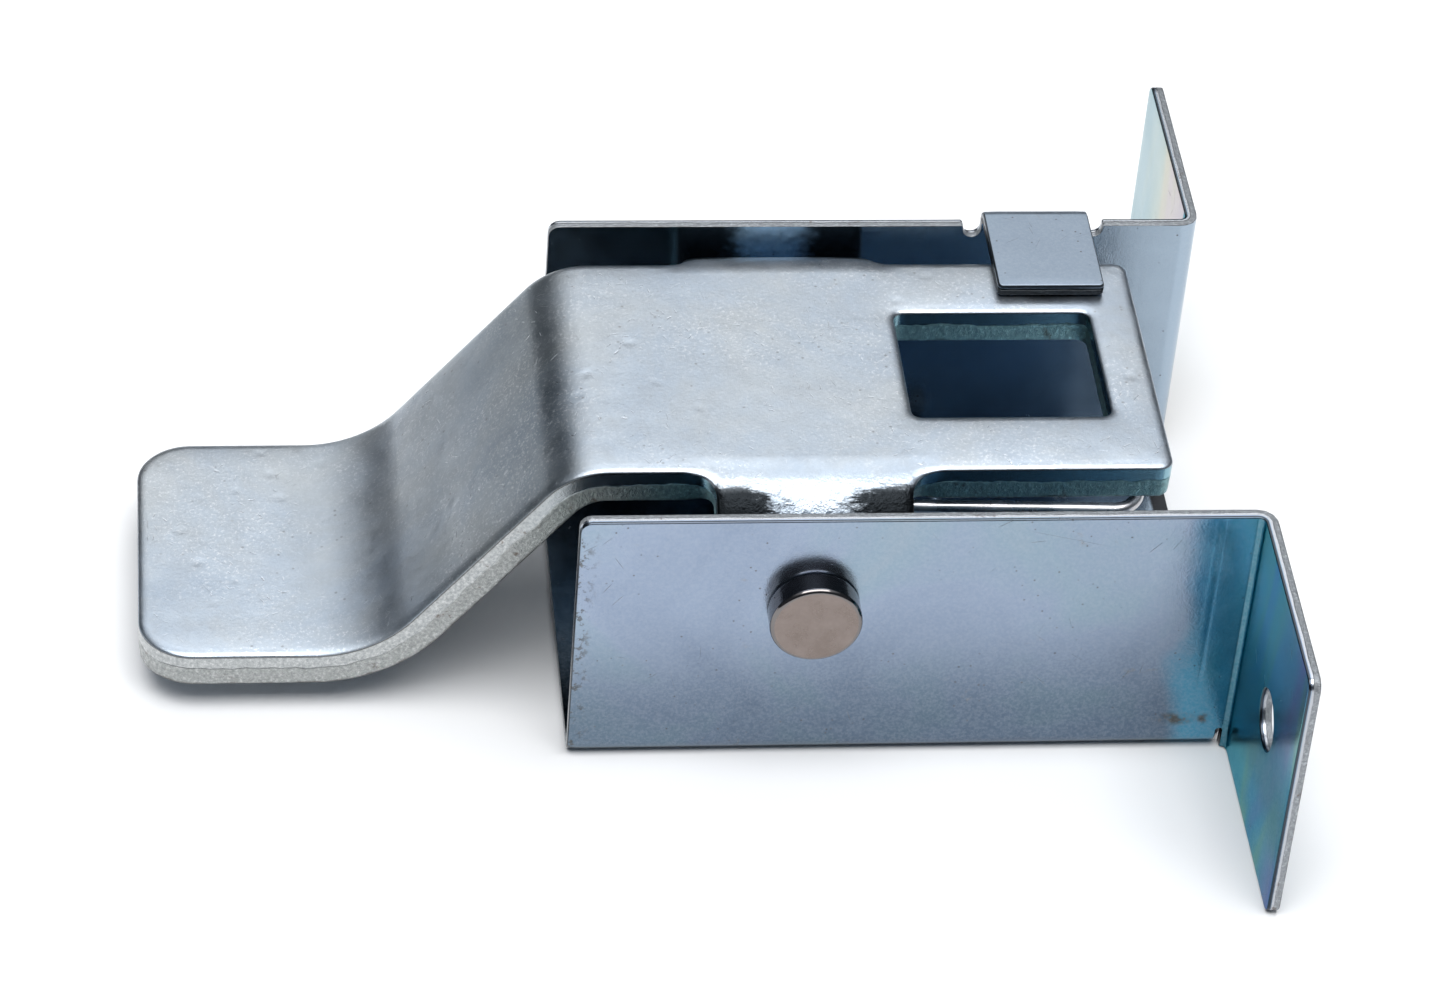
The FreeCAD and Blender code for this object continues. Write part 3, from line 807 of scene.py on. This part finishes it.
def coil_spot(angle, y, turn):
    """Point of a coil at an angle about the pin, and the wire's direction there."""
    lead = (COIL_OUTER_Y - COIL_INNER_Y) / (turn * COIL_RADIUS)
    return about_pin(COIL_RADIUS, angle, y), Vector((math.sin(angle), lead, -math.cos(angle))).normalized()


def mirrored(path):
    return [Vector((p.x, -p.y, p.z)) for p in reversed(path)]


def build_spring():
    """Legs that lie on the bracket, coils that twist, and a bail that the lever carries."""
    slope = leg_slope()
    turn = 2 * math.pi * COIL_TURNS + math.pi - slope - ARM_RISE
    start = -math.pi / 2 - slope
    leg_top, leg_way = coil_spot(start, -COIL_OUTER_Y, turn)
    arm_start, arm_way = coil_spot(math.pi / 2 + ARM_RISE, -COIL_INNER_Y, turn)
    heel = leg_top - leg_way * ((FOOT_X - leg_top.x) / -leg_way.x)
    leg = bent_path([Vector((FOOT_X, -FOOT_TIP_Y, heel.z)), heel, leg_top], [FOOT_BEND], WIRE_STEP)
    coil = [coil_spot(start - turn * i / COIL_STEPS,
                      -COIL_OUTER_Y + (COIL_OUTER_Y - COIL_INNER_Y) * i / COIL_STEPS, turn)[0]
            for i in range(COIL_STEPS + 1)]
    arm = bent_path([arm_start, arm_start + arm_way * ARM_LEAD, Vector((KNEE_X, -KNEE_Y, BAIL_Z)),
                     Vector((BAIL_X, -BAIL_Y, BAIL_Z)), Vector((BAIL_X, -CROWN_Y, BAIL_Z + BAIL_CROWN)),
                     Vector((BAIL_X, 0, BAIL_Z + BAIL_CROWN))],
                    [ARM_BEND, ARM_BEND, BAIL_BEND, CROWN_BEND], WIRE_STEP)
    pieces = [tube("spring_bail", arm + mirrored(arm)[1:], WIRE)]
    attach(pieces[0], "lever")
    for name, side in (("near", -1), ("far", 1)):
        leg_path = leg if side < 0 else mirrored(leg)
        coil_path = coil if side < 0 else mirrored(coil)
        lower = tube(f"spring_leg_{name}", leg_path, WIRE)
        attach(lower, "bracket")
        wound = tube(f"spring_coil_{name}", coil_path, WIRE)
        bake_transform(wound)
        pieces += [lower, wound]
    for piece in pieces:
        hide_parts("torsion_spring")
    return pieces


# ---- materials: lengths in millimetres, and texture scales per metre ----
SMUDGE_Z = FLOOR + 3.9  # height of the brown stain near the ear's foot
# dark brown of the painted dark reflection line below a rounded edge
DARK_REFLECTION_LINE = (0.05, 0.045, 0.04)
# near black of the painted shade and dark reflection on cut edges
SHADE_BLACK = (0.02, 0.023, 0.026)
CLEAR = (1, 1, 1)
ABOVE_WALLS = WALL_TOP + 0.2
UNDER_COVER = (-64, -56)  # X where the lever's edge comes into the bracket's shade
HALFWAY = (0.4, 0.6)  # depths between the outer and the inner face of a sheet


class Finish:
    """A material's node tree, with short ways to add nodes to it.

    x, y and z are outputs that give a point's place in millimetres. colour and normal are what has been
    laid over the surface so far.
    """

    def __init__(self, name):
        self.material = bpy.data.materials.new(name)
        self.material.use_nodes = True
        self.nodes = self.material.node_tree.nodes
        self.links = self.material.node_tree.links
        self.shader = self.nodes["Principled BSDF"]
        self.object = self.nodes.new("ShaderNodeTexCoord").outputs["Object"]
        self.colour = self.normal = None
        self.x, self.y, self.z = self.node("SeparateXYZ", {"Vector": self.stretch((1 / MM,) * 3)}).outputs

    def node(self, kind, inputs=None, **settings):
        node = self.nodes.new("ShaderNode" + kind)
        for key, value in settings.items():
            setattr(node, key, value)
        for key, value in (inputs or {}).items():
            self.set(node.inputs[key], value)
        return node

    def set(self, socket, value):
        """Link an output to a socket, or give the socket a plain value."""
        if isinstance(value, bpy.types.NodeSocket):
            self.links.new(value, socket)
        else:
            socket.default_value = (*value, 1) if socket.type == "RGBA" else value

    def math(self, operation, a, b=0):
        return self.node("Math", {0: a, 1: b}, operation=operation).outputs[0]

    def times(self, first, *others):
        """Product of masks, shares and other values."""
        for other in others:
            first = self.math("MULTIPLY", first, other)
        return first

    def plus(self, a, b):
        return self.math("ADD", a, b)

    def minus(self, a, b):
        return self.math("SUBTRACT", a, b)

    def most(self, a, b):
        return self.math("MAXIMUM", a, b)

    def unsigned(self, value):
        return self.math("ABSOLUTE", value)

    def length(self, a, b):
        return self.math("SQRT", self.plus(self.times(a, a), self.times(b, b)))

    def vector(self, operation, a, b=None, output="Vector"):
        inputs = {0: a} if b is None else {0: a, 1: b}
        return self.node("VectorMath", inputs, operation=operation).outputs[output]

    def stretch(self, factors):
        """The object's coordinates, scaled along each axis."""
        return self.node("Mapping", {"Vector": self.object, "Scale": factors}).outputs[0]

    def noise(self, scale, detail=2, rough=0.5, vector=None, warp=0):
        return self.node("TexNoise", {"Vector": vector or self.object, "Scale": scale, "Detail": detail,
                                      "Roughness": rough, "Distortion": warp}).outputs["Fac"]

    def cells(self, scale):
        return self.node("TexVoronoi", {"Vector": self.object, "Scale": scale}).outputs["Distance"]

    def range(self, value, low, high, to_low=0, to_high=1):
        """value, mapped smoothly from low..high onto to_low..to_high and held there."""
        return self.node("MapRange", {"Value": value, "From Min": low, "From Max": high,
                                      "To Min": to_low, "To Max": to_high},
                         interpolation_type="SMOOTHSTEP").outputs["Result"]

    def fall(self, value, low, high, to_low=1, to_high=0):
        """The same, from 1 down to 0 unless told otherwise."""
        return self.range(value, low, high, to_low, to_high)

    def band(self, value, rise, fall):
        """Mask that rises over one pair of limits and falls over another."""
        return self.times(self.range(value, *rise), self.fall(value, *fall))

    def ramp(self, value, *stops):
        """Colours at positions from 0 to 1."""
        node = self.node("ValToRGB", {"Fac": value})
        elements = node.color_ramp.elements
        while len(elements) < len(stops):
            elements.new(0.5)
        for element, (position, colour) in zip(elements, stops):
            element.position = position
            element.color = (*colour, 1)
        return node.outputs["Color"]

    def mix(self, share, a, b, blend="MIX"):
        node = self.node("Mix", data_type="RGBA", blend_type=blend)
        for socket, value in ((node.inputs["Factor"], share), (node.inputs["A"], a), (node.inputs["B"], b)):
            self.set(socket, value)
        return node.outputs["Result"]

    def over(self, colour, tone, *masks):
        """Colour with a tone laid over it, as strongly as the product of the masks."""
        return self.mix(self.times(*masks), colour, tone)

    def paint(self, tone, *masks):
        """Lay a tone over the finish's own colour."""
        self.colour = self.over(self.colour, tone, *masks)

    def tinted(self, tint):
        return self.mix(1, self.colour, tint, "MULTIPLY")

    def attribute(self, name):
        return self.node("Attribute", attribute_name=name).outputs["Fac"]

    def press(self, height, distance, strength):
        """Raise the finish's surface by up to distance."""
        inputs = {"Height": height, "Distance": distance * MM, "Strength": strength}
        if self.normal:
            inputs["Normal"] = self.normal
        self.normal = self.node("Bump", inputs).outputs["Normal"]

    def finish(self, roughness, metallic=1):
        for name, value in (("Base Color", self.colour), ("Roughness", roughness), ("Normal", self.normal)):
            self.set(self.shader.inputs[name], value)
        self.shader.inputs["Metallic"].default_value = metallic
        return self.material


def nicks(f, scale, length, width):
    """Mask of short straight marks, one in each cell of a random pattern, in all directions."""
    cell = f.node("TexVoronoi", {"Vector": f.object, "Scale": scale}).outputs
    offset = f.vector("SUBTRACT", f.object, cell["Position"])
    way = f.vector("NORMALIZE", f.vector("SUBTRACT", cell["Color"], (0.5, 0.5, 0.5)))
    across = f.unsigned(f.vector("DOT_PRODUCT", offset, way, "Value"))
    reach = f.vector("LENGTH", offset, output="Value")
    return f.times(f.fall(across, width * MM / 4, width * MM), f.fall(reach, length * MM / 2, length * MM))


def blot(f, x, width, height):
    """Soft patch low on a wall, with its middle at x."""
    across = f.math("DIVIDE", f.minus(f.x, x), width)
    up = f.math("DIVIDE", f.minus(f.z, SMUDGE_Z), height)
    return f.fall(f.length(across, up), 0.2, 1)


def relief_slit(f):
    """Mask of the narrow cuts at the feet of the ears, where no light gets in."""
    return f.times(f.band(f.x, (-3.4, -3), (-1.6, -1.3)), f.fall(f.z, -12, -11))


def passivation(f, depth):
    """Rainbow film, where the blue passivation ran and pooled beside the ears, with painted shade at the near
    ear's foot and on the ear's fold.
    """
    aside = f.unsigned(f.y)
    outer = f.fall(depth, 0.04, 0.12)
    ragged = f.plus(f.x, f.times(f.minus(f.noise(110, 3), 0.5), 6))
    f.paint((0.085, 0.3, 0.44), outer, f.range(ragged, -8.5, -5.5), 0.9)
    flat = f.range(f.unsigned(f.minus(depth, 0.5)), 0.4, 0.47)
    ear = f.times(f.range(aside, 23.8, 25.2), f.range(f.x, -2.6, -1.6), flat)
    runs = f.noise(1, 3, 0.5, f.stretch((60, 85, 24)), 0.9)
    hue = f.plus(runs, f.fall(f.y, -46, -26, 0.12))
    near = f.ramp(hue, (0.3, (0.025, 0.16, 0.29)), (0.42, (0.03, 0.24, 0.37)), (0.51, (0.045, 0.32, 0.39)),
                  (0.56, (0.11, 0.35, 0.31)), (0.62, (0.035, 0.26, 0.42)), (0.74, (0.14, 0.16, 0.43)))
    # Painted shade: the near ear is darker towards its foot.
    near = f.over(near, (0.012, 0.06, 0.1), f.fall(f.z, -4, 10, 0.7))
    far = f.ramp(f.plus(f.times(runs, 0.7), f.range(f.y, 24, 47, 0, 0.42)),
                 (0.22, (0.32, 0.27, 0.37)), (0.36, (0.39, 0.34, 0.33)), (0.48, (0.39, 0.38, 0.27)),
                 (0.6, (0.28, 0.38, 0.34)), (0.74, (0.19, 0.34, 0.38)))
    fold = f.times(f.fall(aside, 24.6, 25.2), f.range(f.x, -2.1, -1.7), outer)
    # Painted shade on the ear's fold, dulling the bright strip that it reflects.
    f.paint((0.05, 0.15, 0.18), fold, 0.7)
    f.set(f.shader.inputs["Specular Tint"], f.mix(fold, glancing_film(f, hue, ear), (0.28, 0.6, 0.68)))
    f.paint(f.mix(f.range(f.y, -1, 1), near, far), ear)


def glancing_film(f, hue, ear):
    """Tint of what the near ear reflects at a glancing angle."""
    vivid = f.ramp(hue, (0.32, (0.42, 0.8, 0.98)), (0.45, (0.46, 0.88, 0.96)), (0.55, (0.6, 0.92, 0.84)),
                   (0.64, (0.46, 0.82, 1)), (0.76, (0.64, 0.64, 1)))
    violet = f.times(f.fall(f.y, -47, -40, 0.85), f.fall(f.z, -12, -4, 1, 0.3))
    vivid = f.over(vivid, (0.66, 0.62, 1), violet)
    tint = f.over(CLEAR, (0.5, 0.7, 0.76), f.fall(f.z, 0, 9))
    tint = f.over(tint, vivid, f.fall(f.z, -11, -5))
    return f.over(CLEAR, tint, ear, f.fall(f.y, -1, 1))


def bracket_face():
    """Blue-passivated zinc: near mirror, with faint clouds, stains, specks and fine handling scratches; light
    and shade are painted on too.
    """
    f = Finish("bracket_zinc_face")
    depth = f.attribute("depth")
    inner, outer = f.range(depth, *HALFWAY), f.fall(depth, *HALFWAY)
    clouds = f.noise(46, 4, 0.55, warp=0.8)
    f.colour = f.ramp(clouds, (0.3, (0.245, 0.305, 0.41)), (0.47, (0.3, 0.365, 0.475)),
                      (0.6, (0.285, 0.375, 0.455)), (0.74, (0.335, 0.395, 0.46)))
    # Painted light: the inner faces are drawn lighter than the outer ones.
    f.paint((0.33, 0.41, 0.49), inner)
    tab = f.range(f.z, ABOVE_WALLS, ABOVE_WALLS + 1)
    f.paint((0.295, 0.355, 0.42), tab, 0.8)
    # Painted shade inside the channel, left of the tab and below the walls' top: darker low down, and near
    # black low down towards the open left end.
    channel = f.times(inner, f.fall(f.x, -12.5, -9.5), f.fall(f.z, ABOVE_WALLS, ABOVE_WALLS + 0.6))
    shade = f.mix(f.range(f.z, 0, 8), (0.14, 0.215, 0.295), (0.25, 0.38, 0.5))
    shade = f.over(shade, (0.02, 0.04, 0.06), f.fall(f.x, -62, -50, 0.9), f.fall(f.z, 0, 6))
    f.paint(shade, channel)
    # Painted shade: the outer faces are darker towards the walls' foot, and a little darker from the middle
    # towards the ear end; the underside is darkened with them.
    painted_low_shade = f.plus(f.fall(f.z, -12, 5, 0.72), f.range(f.x, -62, -30, 0, 0.12))
    f.paint(f.tinted((0.24, 0.3, 0.33)), painted_low_shade, outer)
    passivation(f, depth)
    stains = f.range(f.noise(150, 5, 0.7, warp=1.2), 0.64, 0.76, 0, 0.5)
    f.paint((0.26, 0.24, 0.21), stains)
    specks = f.times(f.fall(f.cells(900), 0.05, 0.13), f.range(f.noise(150, 3), 0.46, 0.56))
    f.paint((0.09, 0.08, 0.075), specks, 0.8)
    worn = f.times(f.fall(f.x, BRACKET_LOW.x, BRACKET_LOW.x + 2.5), outer,
                   f.range(f.noise(1300, 3, 0.7), 0.54, 0.62, 0, 0.8))
    smudge = f.times(f.most(blot(f, -6.9, 3, 1.2), blot(f, -4, 0.9, 1)), f.fall(f.y, -23, -22.6),
                     f.range(f.noise(900, 4, 0.7), 0.42, 0.58, 0.2, 1))
    f.paint((0.075, 0.065, 0.05), f.most(worn, f.times(smudge, 0.9)))
    marks = f.most(f.times(nicks(f, 70, 5, 0.04), 0.6), nicks(f, 330, 1, 0.04))
    marks = f.times(marks, f.range(f.noise(60, 3), 0.42, 0.6), f.fall(depth, *HALFWAY, 1, 0.2))
    f.paint((0.14, 0.13, 0.12), marks, 0.5)
    grain = f.noise(3600, 3, 0.7)
    f.paint((0.5, 0.54, 0.6), f.range(grain, 0.35, 0.7, 0, 0.16))
    roughness = f.range(f.noise(160, 3, 0.6), 0.3, 0.7, 0.15, 0.23)
    roughness = f.plus(roughness, f.times(f.plus(marks, stains), 0.2))
    roughness = f.plus(roughness, f.times(tab, 0.17))
    f.press(f.noise(420, 3, 0.6), 0.03, 0.35)
    f.press(grain, 0.012, 0.7)
    f.press(f.plus(marks, specks), -0.012, 0.7)
    # Painted dark reflection along the rounded edges of the outer face, and painted shade in the relief
    # slits.
    rim = f.times(f.band(depth, (0.028, 0.045), (0.21, 0.26)), 0.85)
    slit = f.times(relief_slit(f), f.range(depth, 0.03, 0.05))
    f.paint((0.025, 0.027, 0.03), f.most(rim, slit))
    return f.finish(roughness)


def sheared_edge(name, smooth, torn, split, tint, lit_bare):
    """Cut edge of a sheet: a smooth band, then a torn one, with a painted dark reflection line just below the
    rounding.

    split is the depth between the bands, tint the painted shade, a darker blue cast, where the edge runs into
    the bracket, and bare how strongly a lighter silver speckle, partly own colour and partly painted light,
    goes beyond it.
    """
    f = Finish(name)
    depth = f.attribute("depth")
    level = f.plus(depth, f.times(f.minus(f.noise(420, 3), 0.5), 0.22))
    tear = f.range(level, split - 0.04, split + 0.05)
    unrolled = f.node("CombineXYZ", {"X": f.times(f.attribute("along"), 2.2), "Y": f.times(depth, 5)})
    streaks = f.noise(1, 4, 0.7, unrolled.outputs[0])
    speckle = f.noise(2600, 4, 0.75)
    rough = f.over(torn, tuple(c * 0.6 for c in torn), f.range(streaks, 0.35, 0.65, 0, 0.7))
    rough = f.over(rough, tuple(c * 1.7 for c in torn), f.range(speckle, 0.52, 0.66, 0, 0.6))
    f.colour = f.mix(tear, smooth, rough)
    # Lighter silver speckle on the edge outside the bracket: partly the edge's own uncoated look, partly
    # painted light where the edge leaves the bracket's shade.
    lit_bare_speckle = f.ramp(speckle, (0.36, (0.3, 0.31, 0.305)), (0.52, (0.45, 0.46, 0.455)),
                     (0.66, (0.66, 0.66, 0.65)))
    f.paint(lit_bare_speckle, f.fall(f.x, -74, -64), lit_bare)
    rust = f.times(f.range(f.noise(330, 4, 0.7), 0.6, 0.7), f.range(f.noise(1500, 2), 0.45, 0.6))
    f.paint((0.13, 0.085, 0.06), rust, 0.7)
    f.paint((0.09, 0.08, 0.07), f.range(level, 0.93, 1, 0, 0.7))
    # Painted shade and dark reflection: near black on cut edges higher than the walls' top, such as the tab's
    # cut end, and in the relief slits.
    shaded_cut = f.most(f.range(f.z, ABOVE_WALLS, ABOVE_WALLS + 0.4), relief_slit(f))
    f.paint(SHADE_BLACK, shaded_cut, 0.95)
    # Painted shade: where the edge runs into the bracket it takes the darker blue tint.
    f.paint(f.tinted(tint), f.range(f.x, *UNDER_COVER, 0, 0.7))
    # Painted dark reflection: a dark line just below the rounding, stronger in the bracket's shade.
    reflection_line = f.times(f.fall(depth, 0.135, 0.165, 0.75), f.fall(f.x, *UNDER_COVER, 1, 0.3))
    f.paint(DARK_REFLECTION_LINE, reflection_line)
    pits = f.times(f.plus(streaks, f.times(speckle, 1.6)), f.range(tear, 0, 1, 0.12, 1))
    f.press(pits, 0.09, 0.9)
    return f.finish(f.range(tear, 0, 1, 0.24, 0.44))


def lever_face():
    """Satin zinc over a tumbled plate: sparkling grain, short nicks and small dings, with painted shade and a
    painted dark reflection line.
    """
    f = Finish("lever_zinc_face")
    depth = f.attribute("depth")
    clouds = f.noise(55, 5, 0.65, warp=0.5)
    f.colour = f.ramp(clouds, (0.28, (0.34, 0.4, 0.475)), (0.45, (0.4, 0.455, 0.515)),
                      (0.58, (0.425, 0.465, 0.5)), (0.74, (0.455, 0.48, 0.49)))
    # Painted shade: the ramp is drawn darker, more so towards its head.
    ramp = f.band(f.x, (-83, -79), (-69, -65))
    f.paint((0.08, 0.11, 0.12), ramp, f.range(f.x, -78, -70, 0.22, 0.48))
    mottle = f.noise(420, 4, 0.7)
    f.paint((0.36, 0.39, 0.42), f.range(mottle, 0.4, 0.66, 0, 0.35))
    grain = f.noise(2800, 4, 0.8)
    patchy = f.range(f.noise(75, 3, 0.6), 0.36, 0.62, 0.12, 0.6)
    f.paint((0.7, 0.72, 0.74), f.range(grain, 0.52, 0.66), patchy)
    f.paint((0.22, 0.24, 0.26), f.fall(grain, 0.34, 0.46, 0.12))
    specks = f.times(f.fall(f.cells(700), 0.05, 0.15), f.range(f.noise(160, 2), 0.46, 0.56))
    f.paint((0.17, 0.16, 0.15), specks, 0.5)
    marks = f.times(f.most(nicks(f, 900, 0.4, 0.05), nicks(f, 420, 0.7, 0.04)),
                    f.range(f.noise(130, 3), 0.4, 0.62, 0.1, 0.9))
    f.paint((0.72, 0.74, 0.76), marks, 0.4)
    dents = f.times(f.fall(f.cells(300), 0, 0.3), f.range(f.noise(90, 2), 0.46, 0.6))
    bend = f.range(f.unsigned(f.y), 15.8, 18.5)
    roughness = f.range(f.noise(220, 4, 0.65), 0.3, 0.7, 0.29, 0.4)
    roughness = f.minus(roughness, f.times(marks, 0.08))
    roughness = f.plus(roughness, f.times(f.band(f.x, (-96, -91), (-87, -82)), 0.16))
    f.press(f.noise(330, 4, 0.6), 0.06, 0.4)
    f.press(grain, 0.022, 0.9)
    f.press(f.times(f.noise(1500, 3, 0.7), bend), 0.16, 0.8)
    f.press(dents, -0.04, 0.8)
    f.press(marks, -0.02, 0.8)
    # Painted shade: near black, streaked, on the lug bends below the walls' top, where they drop in beside
    # the walls.
    lug_shade = f.times(f.fall(f.z, WALL_TOP - 1.6, WALL_TOP + 1.1), bend,
                    f.range(f.unsigned(f.minus(f.x, HINGE.x)), 0.5, 8.5, 0.35, 1))
    streaks = f.noise(1, 4, 0.75, f.stretch((700, 2000, 2600)))
    lug_shade = f.range(f.plus(lug_shade, f.minus(streaks, 0.5)), 0.34, 0.7)
    f.paint((0.012, 0.014, 0.016), lug_shade, bend)
    # Painted dark reflection: a dark line where the rounding turns down into the cut edge.
    f.paint(DARK_REFLECTION_LINE, f.band(depth, (0.105, 0.128), (0.5, 0.6)), 0.75)
    return f.finish(roughness)


def pin_nickel():
    """Nickel plate; the flat face still shows its turning, and its warm tan is a painted pinkish reflection.
    """
    f = Finish("pin_nickel_plate")
    radius = f.length(f.minus(f.x, HINGE.x), f.minus(f.z, HINGE.z))
    rings = f.noise(1, 2, 0.5, f.node("CombineXYZ", {"X": f.times(radius, 9)}).outputs[0])
    face = f.fall(radius, 4, 4.15)
    blotch = f.noise(500, 4, 0.6)
    # Painted reflection: the flat face's warm tan.
    tan = f.ramp(blotch, (0.35, (0.22, 0.18, 0.16)), (0.7, (0.27, 0.225, 0.205)))
    f.colour = f.over((0.2, 0.185, 0.18), tan, face)
    roughness = f.plus(f.range(face, 0, 1, 0.09, 0.26), f.range(blotch, 0.3, 0.8, 0, 0.06))
    f.press(f.times(rings, face), 0.008, 0.6)
    f.press(f.noise(2500, 3), 0.006, 0.4)
    return f.finish(roughness)


def spring_steel():
    """Bright drawn wire with a light film of oil in patches."""
    f = Finish("spring_wire")
    film = f.noise(240, 3, 0.6)
    f.colour = f.ramp(film, (0.3, (0.34, 0.33, 0.32)), (0.6, (0.52, 0.52, 0.53)), (0.8, (0.6, 0.6, 0.6)))
    f.press(f.noise(1800, 3, 0.7), 0.01, 0.5)
    return f.finish(f.range(film, 0.3, 0.7, 0.18, 0.34))


def ring_steel():
    """Phosphated spring steel, dark and a little mottled."""
    f = Finish("ring_phosphate")
    mottle = f.noise(700, 4, 0.65)
    f.colour = f.ramp(mottle, (0.3, (0.05, 0.05, 0.055)), (0.7, (0.12, 0.12, 0.125)))
    f.press(f.noise(3000, 3), 0.01, 0.6)
    return f.finish(f.range(mottle, 0.3, 0.7, 0.32, 0.52), metallic=0.85)


def dress(piece, *materials):
    for material in materials:
        piece.data.materials.append(material)


# ---- assembly ----

def build_object():
    bracket = build_bracket()
    dress(bracket, bracket_face(),
          sheared_edge("bracket_zinc_edge", smooth=(0.46, 0.48, 0.51), torn=(0.36, 0.38, 0.4),
                       split=0.5, tint=CLEAR, lit_bare=0))
    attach(bracket, "bracket")
    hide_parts("bracket")

    lever = build_lever()
    dress(lever, lever_face(),
          sheared_edge("lever_zinc_edge", smooth=(0.36, 0.4, 0.42), torn=(0.34, 0.38, 0.365),
                       split=0.48, tint=(0.5, 1, 1.15), lit_bare=0.8))
    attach(lever, "lever")
    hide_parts("lever")

    pin = build_pin()
    dress(pin, pin_nickel())
    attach(pin, "bracket")
    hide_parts("pivot_pin")

    ring = build_ring()
    steel = ring_steel()
    dress(ring, steel, steel)
    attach(ring, "bracket")
    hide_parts("retaining_ring")

    wire = spring_steel()
    for piece in build_spring():
        dress(piece, wire)


# ---- stage ----

FLOOR_SIZE = 6  # metres, as the lengths of the lights are
FLOOR_GAP = 0.03  # keeps the paper clear of the channel's underside
LIGHT_AIM = Vector((-0.05, 0, 0))
SKY = ((0.6, (0.07, 0.08, 0.095, 1)), (0.84, (0.62, 0.66, 0.72, 1)))  # colours by height


def build_floor():
    half = FLOOR_SIZE / 2 / MM
    level = FLOOR - FLOOR_GAP
    points = [(-half, -half, level), (half, -half, level), (half, half, level), (-half, half, level)]
    floor = mesh_piece("pale_floor", points, [[0, 1, 2, 3]])
    f = Finish("pale_paper")
    f.colour = f.ramp(f.noise(9, 3), (0.3, (0.86, 0.86, 0.86)), (0.7, (0.89, 0.89, 0.89)))
    f.press(f.noise(900), 0.02, 0.2)
    dress(floor, f.finish(0.75, metallic=0))


def softbox(name, place, size, power):
    """Rectangular lamp that faces the object."""
    lamp = bpy.data.lights.new(name, "AREA")
    lamp.shape = "RECTANGLE"
    lamp.size, lamp.size_y = size
    lamp.energy = power
    holder = bpy.data.objects.new(name, lamp)
    holder.location = place
    holder.rotation_euler = (LIGHT_AIM - Vector(place)).to_track_quat("-Z", "Y").to_euler()
    bpy.context.scene.collection.objects.link(holder)


def build_lights():
    world = bpy.data.worlds.new("studio")
    bpy.context.scene.world = world
    world.use_nodes = True
    nodes, links = world.node_tree.nodes, world.node_tree.links
    up = nodes.new("ShaderNodeSeparateXYZ")
    links.new(nodes.new("ShaderNodeTexCoord").outputs["Generated"], up.inputs[0])
    sky = nodes.new("ShaderNodeValToRGB")
    for stop, (height, colour) in zip(sky.color_ramp.elements, SKY):
        stop.position = height
        stop.color = colour
    links.new(up.outputs["Z"], sky.inputs["Fac"])
    links.new(sky.outputs["Color"], nodes["Background"].inputs["Color"])
    nodes["Background"].inputs["Strength"].default_value = 1
    softbox("backdrop", place=(-0.02, 0.6, 0.77), size=(1.05, 0.65), power=3.35)
    softbox("overhead", place=(-0.05, -0.21, 0.78), size=(0.85, 0.55), power=7.4)


# ---- camera: the direction it looks from, its roll, and the point it looks at ----
VIEW_AZIMUTH = math.radians(-8.45)
VIEW_ELEVATION = math.radians(40.07)
VIEW_ROLL = math.radians(4.96)
VIEW_DISTANCE = 499.8
VIEW_AIM = Vector((-51.54, -9.13, 5.0))
LENS = 126.95
SENSOR = 36.0


def build_camera():
    back = Vector((math.sin(VIEW_AZIMUTH) * math.cos(VIEW_ELEVATION),
                   -math.cos(VIEW_AZIMUTH) * math.cos(VIEW_ELEVATION), math.sin(VIEW_ELEVATION)))
    turn = back.to_track_quat("Z", "Y").to_matrix() @ Matrix.Rotation(VIEW_ROLL, 3, "Z")
    lens = bpy.data.cameras.new("camera")
    lens.lens = LENS
    lens.sensor_width = SENSOR
    lens.clip_start = 0.01
    camera = bpy.data.objects.new("camera", lens)
    camera.matrix_world = Matrix.Translation((VIEW_AIM + back * VIEW_DISTANCE) * MM) @ turn.to_4x4()
    bpy.context.scene.collection.objects.link(camera)
    bpy.context.scene.camera = camera


build_object()
build_floor()
build_lights()
build_camera()
bpy.context.scene.view_settings.view_transform = "Standard"
